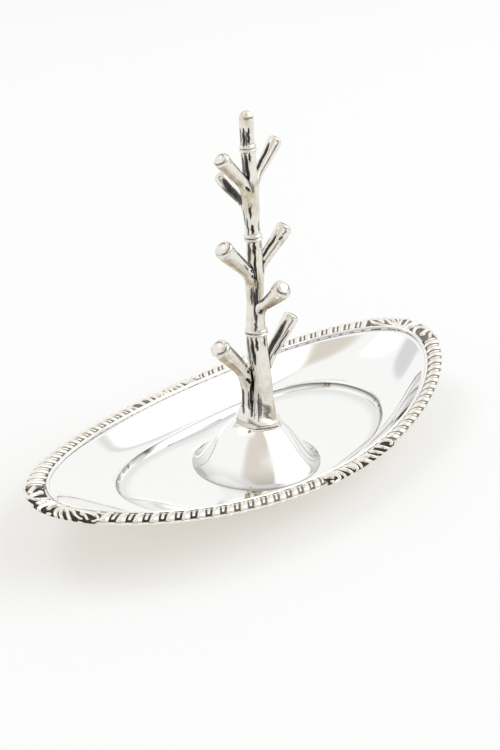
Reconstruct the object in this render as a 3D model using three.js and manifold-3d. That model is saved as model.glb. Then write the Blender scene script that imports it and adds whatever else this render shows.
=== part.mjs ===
// A silver-plated ring tree. A boat-shaped oval dish carries an applied gadroon border with
// four shell-and-scroll mounts. A cast tree of eight capped twigs stands on a mound in its
// middle, and rings are hung over the twigs.
// Millimetres, +Z up, the dish's length along X, the origin under the middle of the dish.

import * as THREE from 'three';
import { mergeVertices } from 'three/addons/utils/BufferGeometryUtils.js';
import Module from 'manifold-3d';

const wasm = await Module();
wasm.setup();

// Dish
const dishLength = 140;
const dishWidth = 65.3;
const dishOvalPower = 1.88;
const sheet = 0.7;
const rimHeight = 9.6;
const endRise = 6.8;
const creaseLength = 84.4;
const creaseWidth = 44;
const creaseOvalPower = 2.28;
const creaseHeight = 3.5;
const creaseWallRise = 1.3;
const creaseWallRun = 0.5;
const accessHoleDiameter = 20;

// Border
const sideBorderWidth = 3.2;
const endBorderWidth = 5.3;
const lipThickness = 0.5;
const lipDrop = 0.4;
const gadroonHeight = 1.2;
const gadroonPitch = 3.6;
const gadroonSlant = 1.8;
const endShellLength = 26;
const sideShellLength = 26.8;
const shellHeight = 1.5;
const shellBulge = 0.7;
const beadDiameter = 0.8;
const solderGap = 0.3;

// Mound
const moundDiameter = 32;
const moundHeight = 10.7;
const moundTopDiameter = 10.2;
const moundWall = 0.9;

// Tree
const treeHeight = 76.3;
const treeFootDiameter = 11.2;
const trunkDiameter = 3.74;
const treeSway = 1.7;
const knotProud = 0.6;
const knotHeight = 1.1;
const twigReach = 9;
const twigRise = 11.5;
const twigDiameter = 4.4;

// Fixing
const studDiameter = 3;
const studSeatDepth = 6;
const studTail = 1;
const washerDiameter = 7;
const washerThickness = 0.6;
const nutAcrossFlats = 5.5;
const nutHeight = 2.4;
const fixingClearance = 0.3;

// Counts, directions and finishes
const dishStations = 72;
const curveSamples = 1440;
const shellStations = 26;
const beadSides = 5;
const roundSides = 32;
const trunkSides = 15;
const twigSides = 10;
const barkRidges = 5;
const swayHeading = THREE.MathUtils.degToRad(-50);

const polishedSilver = new THREE.MeshStandardMaterial({
  color: 0xe9e8e4, roughness: 0.08, metalness: 1,
});
const castSilver = new THREE.MeshStandardMaterial({
  color: 0xdedbd2, roughness: 0.22, metalness: 1,
});
const plainSteel = new THREE.MeshStandardMaterial({
  color: 0xb9b9b6, roughness: 0.35, metalness: 1,
});

const tree = new THREE.Group();

function addPiece(name, geometry, material) {
  const mesh = new THREE.Mesh(geometry, material);
  mesh.name = name;
  tree.add(mesh);
  return mesh;
}

// Closed surfaces from rings of points

function surface(points, faces) {
  const geometry = new THREE.BufferGeometry();
  geometry.setAttribute('position', new THREE.Float32BufferAttribute(points.flatMap(
    (point) => [point.x, point.y, point.z]), 3));
  const sixVolumes = faces.reduce((sum, [a, b, c]) => sum
    + points[a].dot(new THREE.Vector3().crossVectors(points[b], points[c])), 0);
  const outward = sixVolumes > 0 ? faces : faces.map(([a, b, c]) => [a, c, b]);
  geometry.setIndex(outward.flat());
  geometry.computeVertexNormals();
  return geometry;
}

function bandFaces(rings, wrapped) {
  const size = rings[0].length;
  const bands = wrapped ? rings.length : rings.length - 1;
  const faces = [];
  for (let ring = 0; ring < bands; ring += 1) {
    const next = (ring + 1) % rings.length;
    for (let index = 0; index < size; index += 1) {
      const beside = (index + 1) % size;
      const a = ring * size + index;
      const b = ring * size + beside;
      const c = next * size + beside;
      const d = next * size + index;
      faces.push([a, b, c], [a, c, d]);
    }
  }
  return faces;
}

function endlessLoft(rings) {
  return surface(rings.flat(), bandFaces(rings, true));
}

function middleOf(points) {
  const sum = points.reduce((total, point) => total.add(point), new THREE.Vector3());
  return sum.divideScalar(points.length);
}

function cappedLoft(rings) {
  const size = rings[0].length;
  const points = rings.flat();
  const faces = bandFaces(rings, false);
  const last = points.length - size;
  const startMiddle = points.length;
  points.push(middleOf(rings[0]), middleOf(rings[rings.length - 1]));
  for (let index = 0; index < size; index += 1) {
    const beside = (index + 1) % size;
    faces.push([startMiddle, beside, index]);
    faces.push([startMiddle + 1, last + index, last + beside]);
  }
  return surface(points, faces);
}

function solidOf(geometry) {
  const bare = geometry.clone();
  bare.deleteAttribute('normal');
  bare.deleteAttribute('uv');
  const merged = mergeVertices(bare);
  return new wasm.Manifold(new wasm.Mesh({
    numProp: 3,
    vertProperties: new Float32Array(merged.attributes.position.array),
    triVerts: new Uint32Array(merged.index.array),
  }));
}

function geometryOf(solid) {
  const mesh = solid.getMesh();
  const geometry = new THREE.BufferGeometry();
  geometry.setAttribute('position', new THREE.Float32BufferAttribute(mesh.vertProperties, 3));
  geometry.setIndex(Array.from(mesh.triVerts));
  geometry.computeVertexNormals();
  return geometry;
}

// The rim's oval, and points on the border measured along it and in from its edge

const halfLength = dishLength / 2;
const halfWidth = dishWidth / 2;
const borderSwellPower = 4;

function ovalPoint(halfLong, halfShort, power, angle) {
  const across = Math.cos(angle);
  const along = Math.sin(angle);
  return new THREE.Vector3(
    halfLong * Math.sign(across) * Math.abs(across) ** (2 / power),
    halfShort * Math.sign(along) * Math.abs(along) ** (2 / power),
    0,
  );
}

const rimSamples = [];
let rimLength = 0;
for (let index = 0; index <= curveSamples; index += 1) {
  const angle = (2 * Math.PI * index) / curveSamples;
  const point = ovalPoint(halfLength, halfWidth, dishOvalPower, angle);
  if (index > 0) {
    rimLength += point.distanceTo(rimSamples[index - 1].point);
  }
  rimSamples.push({ angle, point, distance: rimLength });
}
const quarterRim = rimLength / 4;

function rimAngle(distance) {
  const wanted = ((distance % rimLength) + rimLength) % rimLength;
  let low = 0;
  let high = curveSamples;
  while (high - low > 1) {
    const middle = Math.floor((low + high) / 2);
    if (rimSamples[middle].distance <= wanted) {
      low = middle;
    } else {
      high = middle;
    }
  }
  const before = rimSamples[low];
  const after = rimSamples[high];
  const share = (wanted - before.distance) / (after.distance - before.distance);
  return THREE.MathUtils.lerp(before.angle, after.angle, share);
}

function boatLift(x) {
  return endRise * (x / halfLength) ** 2;
}

function borderWidthAt(x) {
  const endShare = Math.min(Math.abs(x / halfLength), 1) ** borderSwellPower;
  return THREE.MathUtils.lerp(sideBorderWidth, endBorderWidth, endShare);
}

function rimPoint(distance, inset, level) {
  const point = ovalPoint(halfLength, halfWidth, dishOvalPower, rimAngle(distance));
  const slopeX = Math.sign(point.x) * Math.abs(point.x / halfLength) ** (dishOvalPower - 1);
  const slopeY = Math.sign(point.y) * Math.abs(point.y / halfWidth) ** (dishOvalPower - 1);
  const outwardNormal = new THREE.Vector3(slopeX / halfLength, slopeY / halfWidth, 0).normalize();
  const placed = point.addScaledVector(outwardNormal, -inset);
  placed.z = level + boatLift(placed.x);
  return placed;
}

function rimWidth(distance) {
  const angle = rimAngle(distance);
  return borderWidthAt(ovalPoint(halfLength, halfWidth, dishOvalPower, angle).x);
}

// Dish: one pressed sheet with a shallow well, a short steep wall round it and a broad
// flange whose ends rise like a boat's. The wall's top is a crisp crease, and a hole under
// the mound gives access to the nut.

const seatLevel = rimHeight;
const beadRadius = beadDiameter / 2;
const creaseX = creaseLength / 2;
const creaseY = creaseWidth / 2;
const accessHoleRadius = accessHoleDiameter / 2;
const moundRadius = moundDiameter / 2;
const wellFlatShare = 0.18;
const wellShares = [0.4, 0.78];
const flangeShares = [0.12, 0.42, 0.78];
const wellCurvePower = 1.7;
const flangeHollowShare = 0.14;

function dishStation(index) {
  const distance = (rimLength * index) / dishStations;
  const angle = rimAngle(distance);
  const section = [];
  const hole = ovalPoint(accessHoleRadius, accessHoleRadius, 2, angle);
  const crease = ovalPoint(creaseX, creaseY, creaseOvalPower, angle);
  const wallFoot = crease.clone().setLength(crease.length() - creaseWallRun);
  const flatEnd = ovalPoint(moundRadius, moundRadius, 2, angle).lerp(wallFoot, wellFlatShare);
  crease.z = creaseHeight + boatLift(crease.x);
  wallFoot.z = crease.z - creaseWallRise;
  hole.z = sheet;
  flatEnd.z = sheet;
  section.push(hole, flatEnd);
  for (const share of wellShares) {
    const point = flatEnd.clone().lerp(wallFoot, share);
    point.z = THREE.MathUtils.lerp(sheet, wallFoot.z, share ** wellCurvePower);
    section.push(point);
  }
  section.push(wallFoot, crease);
  const width = rimWidth(distance);
  const knee = rimPoint(distance, width + beadDiameter, seatLevel);
  for (const share of flangeShares) {
    const point = crease.clone().lerp(knee, share);
    const rise = share - flangeHollowShare * Math.sin(Math.PI * share);
    point.z = THREE.MathUtils.lerp(crease.z, knee.z, rise);
    section.push(point);
  }
  section.push(knee);
  section.push(rimPoint(distance, width / 2, seatLevel));
  section.push(rimPoint(distance, lipThickness + solderGap, seatLevel));
  return section;
}

function undersideOf(stations) {
  return stations.map((section, index) => {
    const before = stations[(index + stations.length - 1) % stations.length];
    const after = stations[(index + 1) % stations.length];
    return section.map((point, place) => {
      if (point.z <= sheet) {
        return new THREE.Vector3(point.x, point.y, 0);
      }
      const inner = section[Math.max(place - 1, 0)];
      const outer = section[Math.min(place + 1, section.length - 1)];
      const outwards = outer.clone().sub(inner);
      const around = after[place].clone().sub(before[place]);
      const normal = outwards.cross(around).normalize();
      return point.clone().addScaledVector(normal, -sheet);
    });
  });
}

const dishTop = Array.from({ length: dishStations }, (_, index) => dishStation(index));
const dishUnderside = undersideOf(dishTop);
const dishSections = dishTop.map((section, index) => [
  ...section, ...dishUnderside[index].slice().reverse(),
]);
addPiece('dish', endlessLoft(dishSections), polishedSilver);

// Bead wire: a plain drawn wire soldered along the inside of the border

const borderLevel = seatLevel + solderGap;

function beadSection(index) {
  const distance = (rimLength * index) / dishStations;
  const width = rimWidth(distance);
  return Array.from({ length: beadSides }, (_, side) => {
    const turn = (2 * Math.PI * (side + 0.5)) / beadSides;
    const inset = width + beadRadius * Math.cos(turn);
    return rimPoint(distance, inset, borderLevel + beadRadius + beadRadius * Math.sin(turn));
  });
}

const beadSections = Array.from({ length: dishStations }, (_, index) => beadSection(index));
addPiece('bead_wire', endlessLoft(beadSections), polishedSilver);

// Border: cast lengths that follow the rim. Their cross lines lean towards the nearer end of
// the dish, and swing over within each shell mount.

const endShellHalf = endShellLength / 2;
const sideShellHalf = sideShellLength / 2;

function leanAt(distance) {
  const place = ((distance % (2 * quarterRim)) + 2 * quarterRim) % (2 * quarterRim);
  const fromEnd = Math.min(place, 2 * quarterRim - place);
  const towards = place < quarterRim ? -1 : 1;
  const endShare = Math.min(fromEnd / endShellHalf, 1);
  const sideShare = Math.min((quarterRim - fromEnd) / sideShellHalf, 1);
  return towards * endShare * sideShare;
}

function borderPoint(distance, acrossShare, level, outset) {
  const inner = beadRadius + solderGap;
  const leaned = distance + leanAt(distance) * gadroonSlant * (0.5 - acrossShare);
  const width = rimWidth(leaned) - inner;
  return rimPoint(leaned, acrossShare * width - outset, borderLevel + level);
}

const gadroonProfileShares = [[0, 0.36], [0.2, 0.9], [0.6, 1], [1, 0.5]];
const lobePhaseShares = [0, 0.25, 0.52, 0.8];
const lobeHeightShares = [0.52, 0.96, 0.96, 0.68];
const scallopShare = 0.3;

function lipPoints(distance, outset) {
  const inside = lipThickness / (rimWidth(distance) - beadRadius - solderGap);
  return [
    borderPoint(distance, 1, 0, 0),
    borderPoint(distance, inside, 0, 0),
    borderPoint(distance, inside, -solderGap - lipDrop, 0),
    borderPoint(distance, 0, -solderGap - lipDrop, outset),
  ];
}

function gadroonSection(distance, heightShare) {
  const section = gadroonProfileShares.map(([across, height]) => {
    const lobe = across < 1 ? heightShare : THREE.MathUtils.lerp(1, heightShare, scallopShare);
    const outset = across === 0 ? scallopShare * lipThickness * (2 * heightShare - 1) : 0;
    return borderPoint(distance, across, gadroonHeight * height * lobe, outset);
  });
  section.push(...lipPoints(distance, 0));
  return section;
}

function gadroonLength(start, end) {
  const lobes = Math.max(Math.round((end - start) / gadroonPitch), 1);
  const pitch = (end - start) / lobes;
  const sections = [];
  for (let lobe = 0; lobe < lobes; lobe += 1) {
    lobePhaseShares.forEach((phase, step) => {
      sections.push(gadroonSection(start + (lobe + phase) * pitch, lobeHeightShares[step]));
    });
  }
  sections.push(gadroonSection(end, lobeHeightShares[0]));
  return cappedLoft(sections);
}

const gadroonStart = endShellHalf + solderGap / 2;
const gadroonEnd = quarterRim - sideShellHalf - solderGap / 2;
const gadroonQuarters = [
  ['gadroon_back_right', gadroonStart, gadroonEnd],
  ['gadroon_back_left', 2 * quarterRim - gadroonEnd, 2 * quarterRim - gadroonStart],
  ['gadroon_front_left', 2 * quarterRim + gadroonStart, 2 * quarterRim + gadroonEnd],
  ['gadroon_front_right', 4 * quarterRim - gadroonEnd, 4 * quarterRim - gadroonStart],
];
for (const [name, start, end] of gadroonQuarters) {
  addPiece(name, gadroonLength(start, end), castSilver);
}

// Shell mounts: a fan of ribs opens outwards between two scrolls whose leaves run out to
// meet the gadroons. Shares along a mount run from -1 to 1, and shares across it from 0 at
// the outer edge to 1 at the bead wire.

const shellEdgeShare = 0.3;
const shellAcrossShares = [0, 0.15, 0.36, 0.58, 0.8, 1];
const shellGroundShare = 0.42;
const shellRollShare = 0.2;
const fanRibs = 7;
const fanHalfAngle = THREE.MathUtils.degToRad(78);
const fanSpanShare = 0.4;
const fanRootShare = 0.15;
const fanReachShare = 1.25;
const fanGrooveShare = 0.62;
const fanScallopShare = 0.3;
const scrollPlaceShare = 0.6;
const scrollAcrossShare = 0.5;
const scrollLengthShare = 0.21;
const scrollWidthShare = 0.67;
const scrollEyeShare = 0.45;
const scrollGrooveShare = 0.6;
const scrollRollShare = 0.35;
const leafPlaceShare = 0.88;
const leafLengthShare = 0.2;
const leafGroundShare = 0.55;
const leafVeinShare = 0.25;

function fanHeight(alongShare, acrossShare) {
  const along = alongShare / fanSpanShare;
  const out = 1 - acrossShare;
  const angle = Math.atan2(along, out + fanRootShare);
  const reach = Math.hypot(along, out);
  if (Math.abs(angle) > fanHalfAngle || reach > fanReachShare) {
    return 0;
  }
  const rib = Math.abs(Math.cos((angle / fanHalfAngle) * fanRibs * (Math.PI / 2)));
  return THREE.MathUtils.lerp(fanGrooveShare, 1, Math.sqrt(rib) * Math.min(reach * 2, 1));
}

function scrollHeight(alongShare, acrossShare) {
  const along = (Math.abs(alongShare) - scrollPlaceShare) / scrollLengthShare;
  const across = (acrossShare - scrollAcrossShare) / scrollWidthShare;
  const reach = Math.hypot(along, across);
  if (reach > 1) {
    return 0;
  }
  if (reach < scrollEyeShare) {
    return 1;
  }
  const turn = (reach - scrollEyeShare) / (1 - scrollEyeShare);
  return scrollGrooveShare + scrollRollShare * Math.sin(Math.PI * turn);
}

function leafHeight(alongShare, acrossShare) {
  const along = (Math.abs(alongShare) - leafPlaceShare) / leafLengthShare;
  if (Math.abs(along) > 1) {
    return 0;
  }
  const vein = Math.abs(Math.sin(Math.PI * (2 * acrossShare - along)));
  return leafGroundShare + leafVeinShare * vein;
}

function shellLevel(alongShare, acrossShare) {
  const rolled = shellGroundShare + shellRollShare * Math.sin(Math.PI * acrossShare);
  return shellHeight * Math.max(rolled, fanHeight(alongShare, acrossShare),
    scrollHeight(alongShare, acrossShare), leafHeight(alongShare, acrossShare));
}

function shellOutset(alongShare) {
  const fan = Math.max(1 - Math.abs(alongShare) / fanSpanShare, 0);
  const rib = Math.abs(Math.cos((alongShare / fanSpanShare) * fanRibs * (Math.PI / 4)));
  return shellBulge * Math.sqrt(fan) * THREE.MathUtils.lerp(1 - fanScallopShare, 1, rib);
}

function shellMount(centre, half) {
  const sections = [];
  for (let station = 0; station <= shellStations; station += 1) {
    const alongShare = (2 * station) / shellStations - 1;
    const distance = centre + alongShare * (half - solderGap / 2);
    const outset = shellOutset(alongShare);
    const section = shellAcrossShares.map((across) => {
      const atEdge = across === 0 || across === 1;
      const level = atEdge ? shellEdgeShare * shellHeight : shellLevel(alongShare, across);
      return borderPoint(distance, across, level, outset * (1 - across));
    });
    section.push(...lipPoints(distance, outset));
    sections.push(section);
  }
  return cappedLoft(sections);
}

addPiece('shell_mount_right', shellMount(0, endShellHalf), castSilver);
addPiece('shell_mount_back', shellMount(quarterRim, sideShellHalf), castSilver);
addPiece('shell_mount_left', shellMount(2 * quarterRim, endShellHalf), castSilver);
addPiece('shell_mount_front', shellMount(3 * quarterRim, sideShellHalf), castSilver);

// Mound: a hollow raised dome with a flared foot, seated on the floor of the well

const moundFootLevel = sheet + solderGap;
const moundTopLevel = moundFootLevel + moundHeight;
const moundTopRadius = moundTopDiameter / 2;
const studRadius = studDiameter / 2;
const studHoleRadius = studRadius + fixingClearance;
const moundCurveShares = [
  [1, 0], [0.9, 0.06], [0.78, 0.17], [0.64, 0.33], [0.48, 0.53],
  [0.32, 0.72], [0.17, 0.88], [0.06, 0.97], [0, 1],
];
const ceilingMarginShare = 0.1;

function moundProfile() {
  const spread = moundRadius - moundTopRadius;
  const outside = moundCurveShares.map(([out, up]) => new THREE.Vector2(
    moundTopRadius + spread * out, moundFootLevel + moundHeight * up));
  const inside = outside.map((point, index) => {
    const before = outside[Math.max(index - 1, 0)];
    const after = outside[Math.min(index + 1, outside.length - 1)];
    const run = after.clone().sub(before).normalize();
    return new THREE.Vector2(point.x - moundWall * run.y, point.y + moundWall * run.x);
  });
  const foot = new THREE.Vector2(inside[0].x, moundFootLevel);
  inside[0] = foot;
  const ceiling = moundTopLevel - moundWall;
  const highest = ceiling - ceilingMarginShare * moundWall;
  const inner = inside.filter((point) => point.y < highest || point === foot);
  return [
    ...outside,
    new THREE.Vector2(studHoleRadius, moundTopLevel),
    new THREE.Vector2(studHoleRadius, ceiling),
    new THREE.Vector2(Math.min(moundTopRadius, inner[inner.length - 1].x), ceiling),
    ...inner.reverse(),
    outside[0].clone(),
  ];
}

function turned(profile, sides) {
  const geometry = new THREE.LatheGeometry(profile, sides);
  geometry.rotateX(Math.PI / 2);
  return geometry;
}

addPiece('centre_mound', turned(moundProfile(), roundSides), polishedSilver);

// Tree: a cast trunk with three knots, and twigs cast one by one and soldered on

const treeFootLevel = moundTopLevel + solderGap;
const trunkRadius = trunkDiameter / 2;
const treeFootRadius = treeFootDiameter / 2;
const knotShares = [0.304, 0.612, 0.887];
const trunkShares = [
  { up: 0, stem: 1, flare: 1, sway: 0.25 },
  { up: 0.01, stem: 1, flare: 0.95, sway: 0.25 },
  { up: 0.024, stem: 1, flare: 0.82, sway: 0.35 },
  { up: 0.045, stem: 1, flare: 0.52, sway: 0.7 },
  { up: 0.067, stem: 1, flare: 0.3, sway: 0.88 },
  { up: 0.1, stem: 1, flare: 0.22, sway: 0.86 },
  { up: 0.136, stem: 1, flare: 0.18, sway: 0.8 },
  { up: 0.206, stem: 1, flare: 0.19, sway: 0.45 },
  { up: 0.274, stem: 1, flare: 0.18, sway: 0.2 },
  { up: 0.34, stem: 1, flare: 0.09, sway: 0.06 },
  { up: 0.408, stem: 1.03, flare: 0, sway: -0.03 },
  { up: 0.49, stem: 1.02, flare: 0, sway: -0.07 },
  { up: 0.57, stem: 1.01, flare: 0, sway: -0.11 },
  { up: 0.666, stem: 0.94, flare: 0, sway: -0.42 },
  { up: 0.76, stem: 0.89, flare: 0, sway: -0.59 },
  { up: 0.85, stem: 0.9, flare: 0, sway: -0.75 },
  { up: 0.93, stem: 0.86, flare: 0, sway: -0.98 },
  { up: 0.968, stem: 0.87, flare: 0, sway: -1 },
  { up: 0.985, stem: 0.73, flare: 0, sway: -1 },
  { up: 0.997, stem: 0.4, flare: 0, sway: -1 },
];
const barkDepthShare = 0.05;
const knotFootShare = 1.5;

function trunkAt(upShare) {
  let index = 1;
  while (index < trunkShares.length - 1 && trunkShares[index].up < upShare) {
    index += 1;
  }
  const before = trunkShares[index - 1];
  const after = trunkShares[index];
  const share = (upShare - before.up) / (after.up - before.up);
  const sway = treeSway * THREE.MathUtils.lerp(before.sway, after.sway, share);
  const stem = THREE.MathUtils.lerp(before.stem, after.stem, share);
  const flare = THREE.MathUtils.lerp(before.flare, after.flare, share);
  return {
    centre: new THREE.Vector3(
      sway * Math.cos(swayHeading), sway * Math.sin(swayHeading),
      treeFootLevel + treeHeight * upShare),
    radius: trunkRadius * stem + (treeFootRadius - trunkRadius) * flare,
  };
}

function trunkRings(swell) {
  const knotHalf = knotHeight / treeHeight / 2;
  const stops = trunkShares.map(({ up }) => ({ share: up, proud: 0 }));
  for (const knot of knotShares) {
    stops.push({ share: knot - knotFootShare * knotHalf, proud: 0 });
    stops.push({ share: knot - knotHalf, proud: knotProud });
    stops.push({ share: knot + knotHalf, proud: knotProud });
    stops.push({ share: knot + knotFootShare * knotHalf, proud: 0 });
  }
  stops.sort((one, other) => one.share - other.share);
  return stops.map(({ share, proud }, place) => {
    const { centre, radius } = trunkAt(share);
    if (place === 0) {
      centre.z -= swell;
    }
    if (place === stops.length - 1) {
      centre.z += swell;
    }
    return Array.from({ length: trunkSides }, (_, side) => {
      const turn = (2 * Math.PI * side) / trunkSides;
      const bark = 1 + barkDepthShare * Math.cos(barkRidges * turn + 2 * Math.PI * share);
      const reach = radius * bark + proud + swell;
      return new THREE.Vector3(
        centre.x + reach * Math.cos(turn), centre.y + reach * Math.sin(turn), centre.z);
    });
  });
}

const trunkBlank = solidOf(cappedLoft(trunkRings(0)));
const studSeatTop = treeFootLevel + studSeatDepth;
const studSeat = solidOf(turned([
  new THREE.Vector2(0, treeFootLevel - studSeatDepth),
  new THREE.Vector2(studHoleRadius, treeFootLevel - studSeatDepth),
  new THREE.Vector2(studHoleRadius, studSeatTop + fixingClearance),
  new THREE.Vector2(0, studSeatTop + fixingClearance),
], trunkSides));
addPiece('tree_trunk', geometryOf(trunkBlank.subtract(studSeat)), castSilver);

const swollenTrunk = solidOf(cappedLoft(trunkRings(solderGap)));
const twigs = [
  { name: 'twig_top_right', heading: 3, rootShare: 0.729, reachShare: 1.03, riseShare: 1 },
  { name: 'twig_top_left', heading: 174, rootShare: 0.695, reachShare: 0.97, riseShare: 1.14 },
  { name: 'twig_top_back', heading: 89, rootShare: 0.666, reachShare: 1, riseShare: 0.73 },
  { name: 'twig_middle_right', heading: -7, rootShare: 0.457, reachShare: 1.03, riseShare: 1 },
  { name: 'twig_middle_left', heading: 171, rootShare: 0.438, reachShare: 1, riseShare: 1.02 },
  { name: 'twig_middle_front', heading: -96, rootShare: 0.332, reachShare: 0.93, riseShare: 0.89 },
  { name: 'twig_low_right', heading: -5, rootShare: 0.109, reachShare: 1.1, riseShare: 1.32 },
  { name: 'twig_low_left', heading: 178, rootShare: 0.012, reachShare: 1.06, riseShare: 1.77 },
];
const twigCapShares = [0.77, 0.83, 0.73, 0.89, 1, 1, 0.89, 1.05];
const twigAsideShares = [0, 0, 0, 0, 0, 0, 0, 0.22];
const twigStemShares = [0.4, 0.4, 0.4, 0.4, 0.4, 0.4, 0.4, 0.68];
const twigRootGirthShares = [0.52, 0.54, 0.52, 0.5, 0.48, 0.48, 0.52, 0.7];
const twigStopShares = [0, 0.2, 0.4, 0.6, 0.78, 0.92, 1];
const twigFlarePower = 1.6;
const capShares = [[0.34, 0.96], [0.66, 0.78], [0.88, 0.42]];
const capTilt = THREE.MathUtils.degToRad(48);
const capRunShare = 0.4;

function twigPath(place) {
  const twig = twigs[place];
  const heading = THREE.MathUtils.degToRad(twig.heading);
  const outwards = new THREE.Vector3(Math.cos(heading), Math.sin(heading), 0);
  const aside = new THREE.Vector3(-Math.cos(swayHeading), -Math.sin(swayHeading), 0);
  const trunk = trunkAt(twig.rootShare);
  const asideReach = twigAsideShares[place] * (trunk.radius + twigDiameter);
  const root = trunk.centre.clone().addScaledVector(aside, asideReach);
  const reach = twig.reachShare * twigReach;
  const rise = twig.riseShare * twigRise;
  const stem = root.clone();
  stem.z += twigStemShares[place] * rise;
  const cap = root.clone().addScaledVector(outwards, reach);
  cap.z += rise;
  const capRun = outwards.clone().multiplyScalar(Math.cos(capTilt));
  capRun.z = Math.sin(capTilt);
  const shoulder = cap.clone().addScaledVector(capRun, -capRunShare * Math.hypot(reach, rise));
  return new THREE.CubicBezierCurve3(root, stem, shoulder, cap);
}

function twigRings(place, swell) {
  const path = twigPath(place);
  const capRadius = (twigDiameter * twigCapShares[place]) / 2;
  const heading = THREE.MathUtils.degToRad(twigs[place].heading);
  const sideways = new THREE.Vector3(-Math.sin(heading), Math.cos(heading), 0);
  const stops = twigStopShares.map((share) => {
    const girth = THREE.MathUtils.lerp(twigRootGirthShares[place], 1, share ** twigFlarePower);
    return {
      centre: path.getPoint(share), run: path.getTangent(share), radius: capRadius * girth,
    };
  });
  const end = stops[stops.length - 1];
  for (const [out, girth] of capShares) {
    const centre = end.centre.clone().addScaledVector(end.run, capRadius * out);
    stops.push({ centre, run: end.run, radius: capRadius * girth });
  }
  stops[stops.length - 1].centre.addScaledVector(end.run, swell);
  return stops.map(({ centre, run, radius }) => {
    const upwards = new THREE.Vector3().crossVectors(run, sideways).normalize();
    return Array.from({ length: twigSides }, (_, side) => {
      const turn = (2 * Math.PI * side) / twigSides;
      return centre.clone()
        .addScaledVector(sideways, (radius + swell) * Math.cos(turn))
        .addScaledVector(upwards, (radius + swell) * Math.sin(turn));
    });
  });
}

let nearbyMetal = swollenTrunk;
twigs.forEach((twig, place) => {
  const casting = solidOf(cappedLoft(twigRings(place, 0)));
  addPiece(twig.name, geometryOf(casting.subtract(nearbyMetal)), castSilver);
  nearbyMetal = nearbyMetal.add(solidOf(cappedLoft(twigRings(place, solderGap))));
});

// Fixing: a threaded stud soldered into the tree's foot, drawn down by a washer and a nut
// inside the hollow mound

const washerTop = moundTopLevel - moundWall - fixingClearance;
const washerBottom = washerTop - washerThickness;
const nutTop = washerBottom - fixingClearance;
const nutBottom = nutTop - nutHeight;
const studBottom = nutBottom - studTail;

addPiece('fixing_stud', turned([
  new THREE.Vector2(0, studBottom),
  new THREE.Vector2(studRadius, studBottom),
  new THREE.Vector2(studRadius, studSeatTop),
  new THREE.Vector2(0, studSeatTop),
], roundSides / 2), plainSteel);

addPiece('fixing_washer', turned([
  new THREE.Vector2(studHoleRadius, washerBottom),
  new THREE.Vector2(washerDiameter / 2, washerBottom),
  new THREE.Vector2(washerDiameter / 2, washerTop),
  new THREE.Vector2(studHoleRadius, washerTop),
  new THREE.Vector2(studHoleRadius, washerBottom),
], roundSides / 2), plainSteel);

const hexagon = new THREE.Shape();
const nutCorner = nutAcrossFlats / Math.sqrt(3);
for (let corner = 0; corner < 6; corner += 1) {
  const turn = (Math.PI * corner) / 3;
  const x = nutCorner * Math.cos(turn);
  const y = nutCorner * Math.sin(turn);
  if (corner === 0) {
    hexagon.moveTo(x, y);
  } else {
    hexagon.lineTo(x, y);
  }
}
hexagon.closePath();
const nutBore = new THREE.Path();
nutBore.absarc(0, 0, studHoleRadius, 0, 2 * Math.PI, true);
hexagon.holes.push(nutBore);
const nutGeometry = new THREE.ExtrudeGeometry(hexagon, {
  depth: nutHeight, bevelEnabled: false, curveSegments: roundSides / 4,
});
nutGeometry.translate(0, 0, nutBottom);
addPiece('fixing_nut', nutGeometry, plainSteel);

export default tree;
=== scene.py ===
# A silver-plated ring tree: a boat-shaped dish with a gadroon border and four shell mounts,
# and a cast tree of capped twigs on a mound in its middle, as in a bright studio photograph.
# Sizes are in millimetres and become metres where a mesh is made.

import math
import bpy
import bmesh
import numpy as np
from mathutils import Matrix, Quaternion, Vector


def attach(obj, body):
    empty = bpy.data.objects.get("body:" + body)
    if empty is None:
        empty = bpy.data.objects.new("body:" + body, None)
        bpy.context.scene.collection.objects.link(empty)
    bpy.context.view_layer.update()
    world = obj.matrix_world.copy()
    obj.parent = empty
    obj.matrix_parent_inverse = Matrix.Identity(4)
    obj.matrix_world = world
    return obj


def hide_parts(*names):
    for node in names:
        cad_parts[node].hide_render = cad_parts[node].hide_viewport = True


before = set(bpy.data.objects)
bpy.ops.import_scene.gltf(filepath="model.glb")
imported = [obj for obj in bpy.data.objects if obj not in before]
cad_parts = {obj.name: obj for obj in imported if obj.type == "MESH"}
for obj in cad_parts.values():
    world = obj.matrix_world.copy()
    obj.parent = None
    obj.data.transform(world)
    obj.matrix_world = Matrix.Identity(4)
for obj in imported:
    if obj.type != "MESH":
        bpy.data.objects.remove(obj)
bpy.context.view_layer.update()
scene = bpy.context.scene

# Camera: a short telephoto a little above the dish, turned to look across it from its
# front left, with the whole piece standing in the middle of an upright picture.

MM = 0.001
VIEW_AZIMUTH = math.radians(-50.352)
VIEW_ELEVATION = math.radians(23.197)
VIEW_ROLL = math.radians(-0.538)
VIEW_DISTANCE = 318.89 * MM
VIEW_TARGET = Vector((-0.894, 1.079, 23.76)) * MM
FOCAL_SHARE = 1.7478
SENSOR = 36
SEEN_DEPTHS = (0.01, 20)

camera_data = bpy.data.cameras.new("studio_camera")
camera_data.sensor_width = SENSOR
camera_data.lens = FOCAL_SHARE * SENSOR
camera_data.clip_start, camera_data.clip_end = SEEN_DEPTHS
camera = bpy.data.objects.new("studio_camera", camera_data)
scene.collection.objects.link(camera)
view_back = Vector((
    math.sin(VIEW_AZIMUTH) * math.cos(VIEW_ELEVATION),
    -math.cos(VIEW_AZIMUTH) * math.cos(VIEW_ELEVATION),
    math.sin(VIEW_ELEVATION),
))
camera.location = VIEW_TARGET + view_back * VIEW_DISTANCE
camera.rotation_mode = "QUATERNION"
camera.rotation_quaternion = (
    (-view_back).to_track_quat("-Z", "Y") @ Quaternion((0, 0, 1), VIEW_ROLL))
scene.camera = camera
scene.view_settings.view_transform = "Standard"

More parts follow.
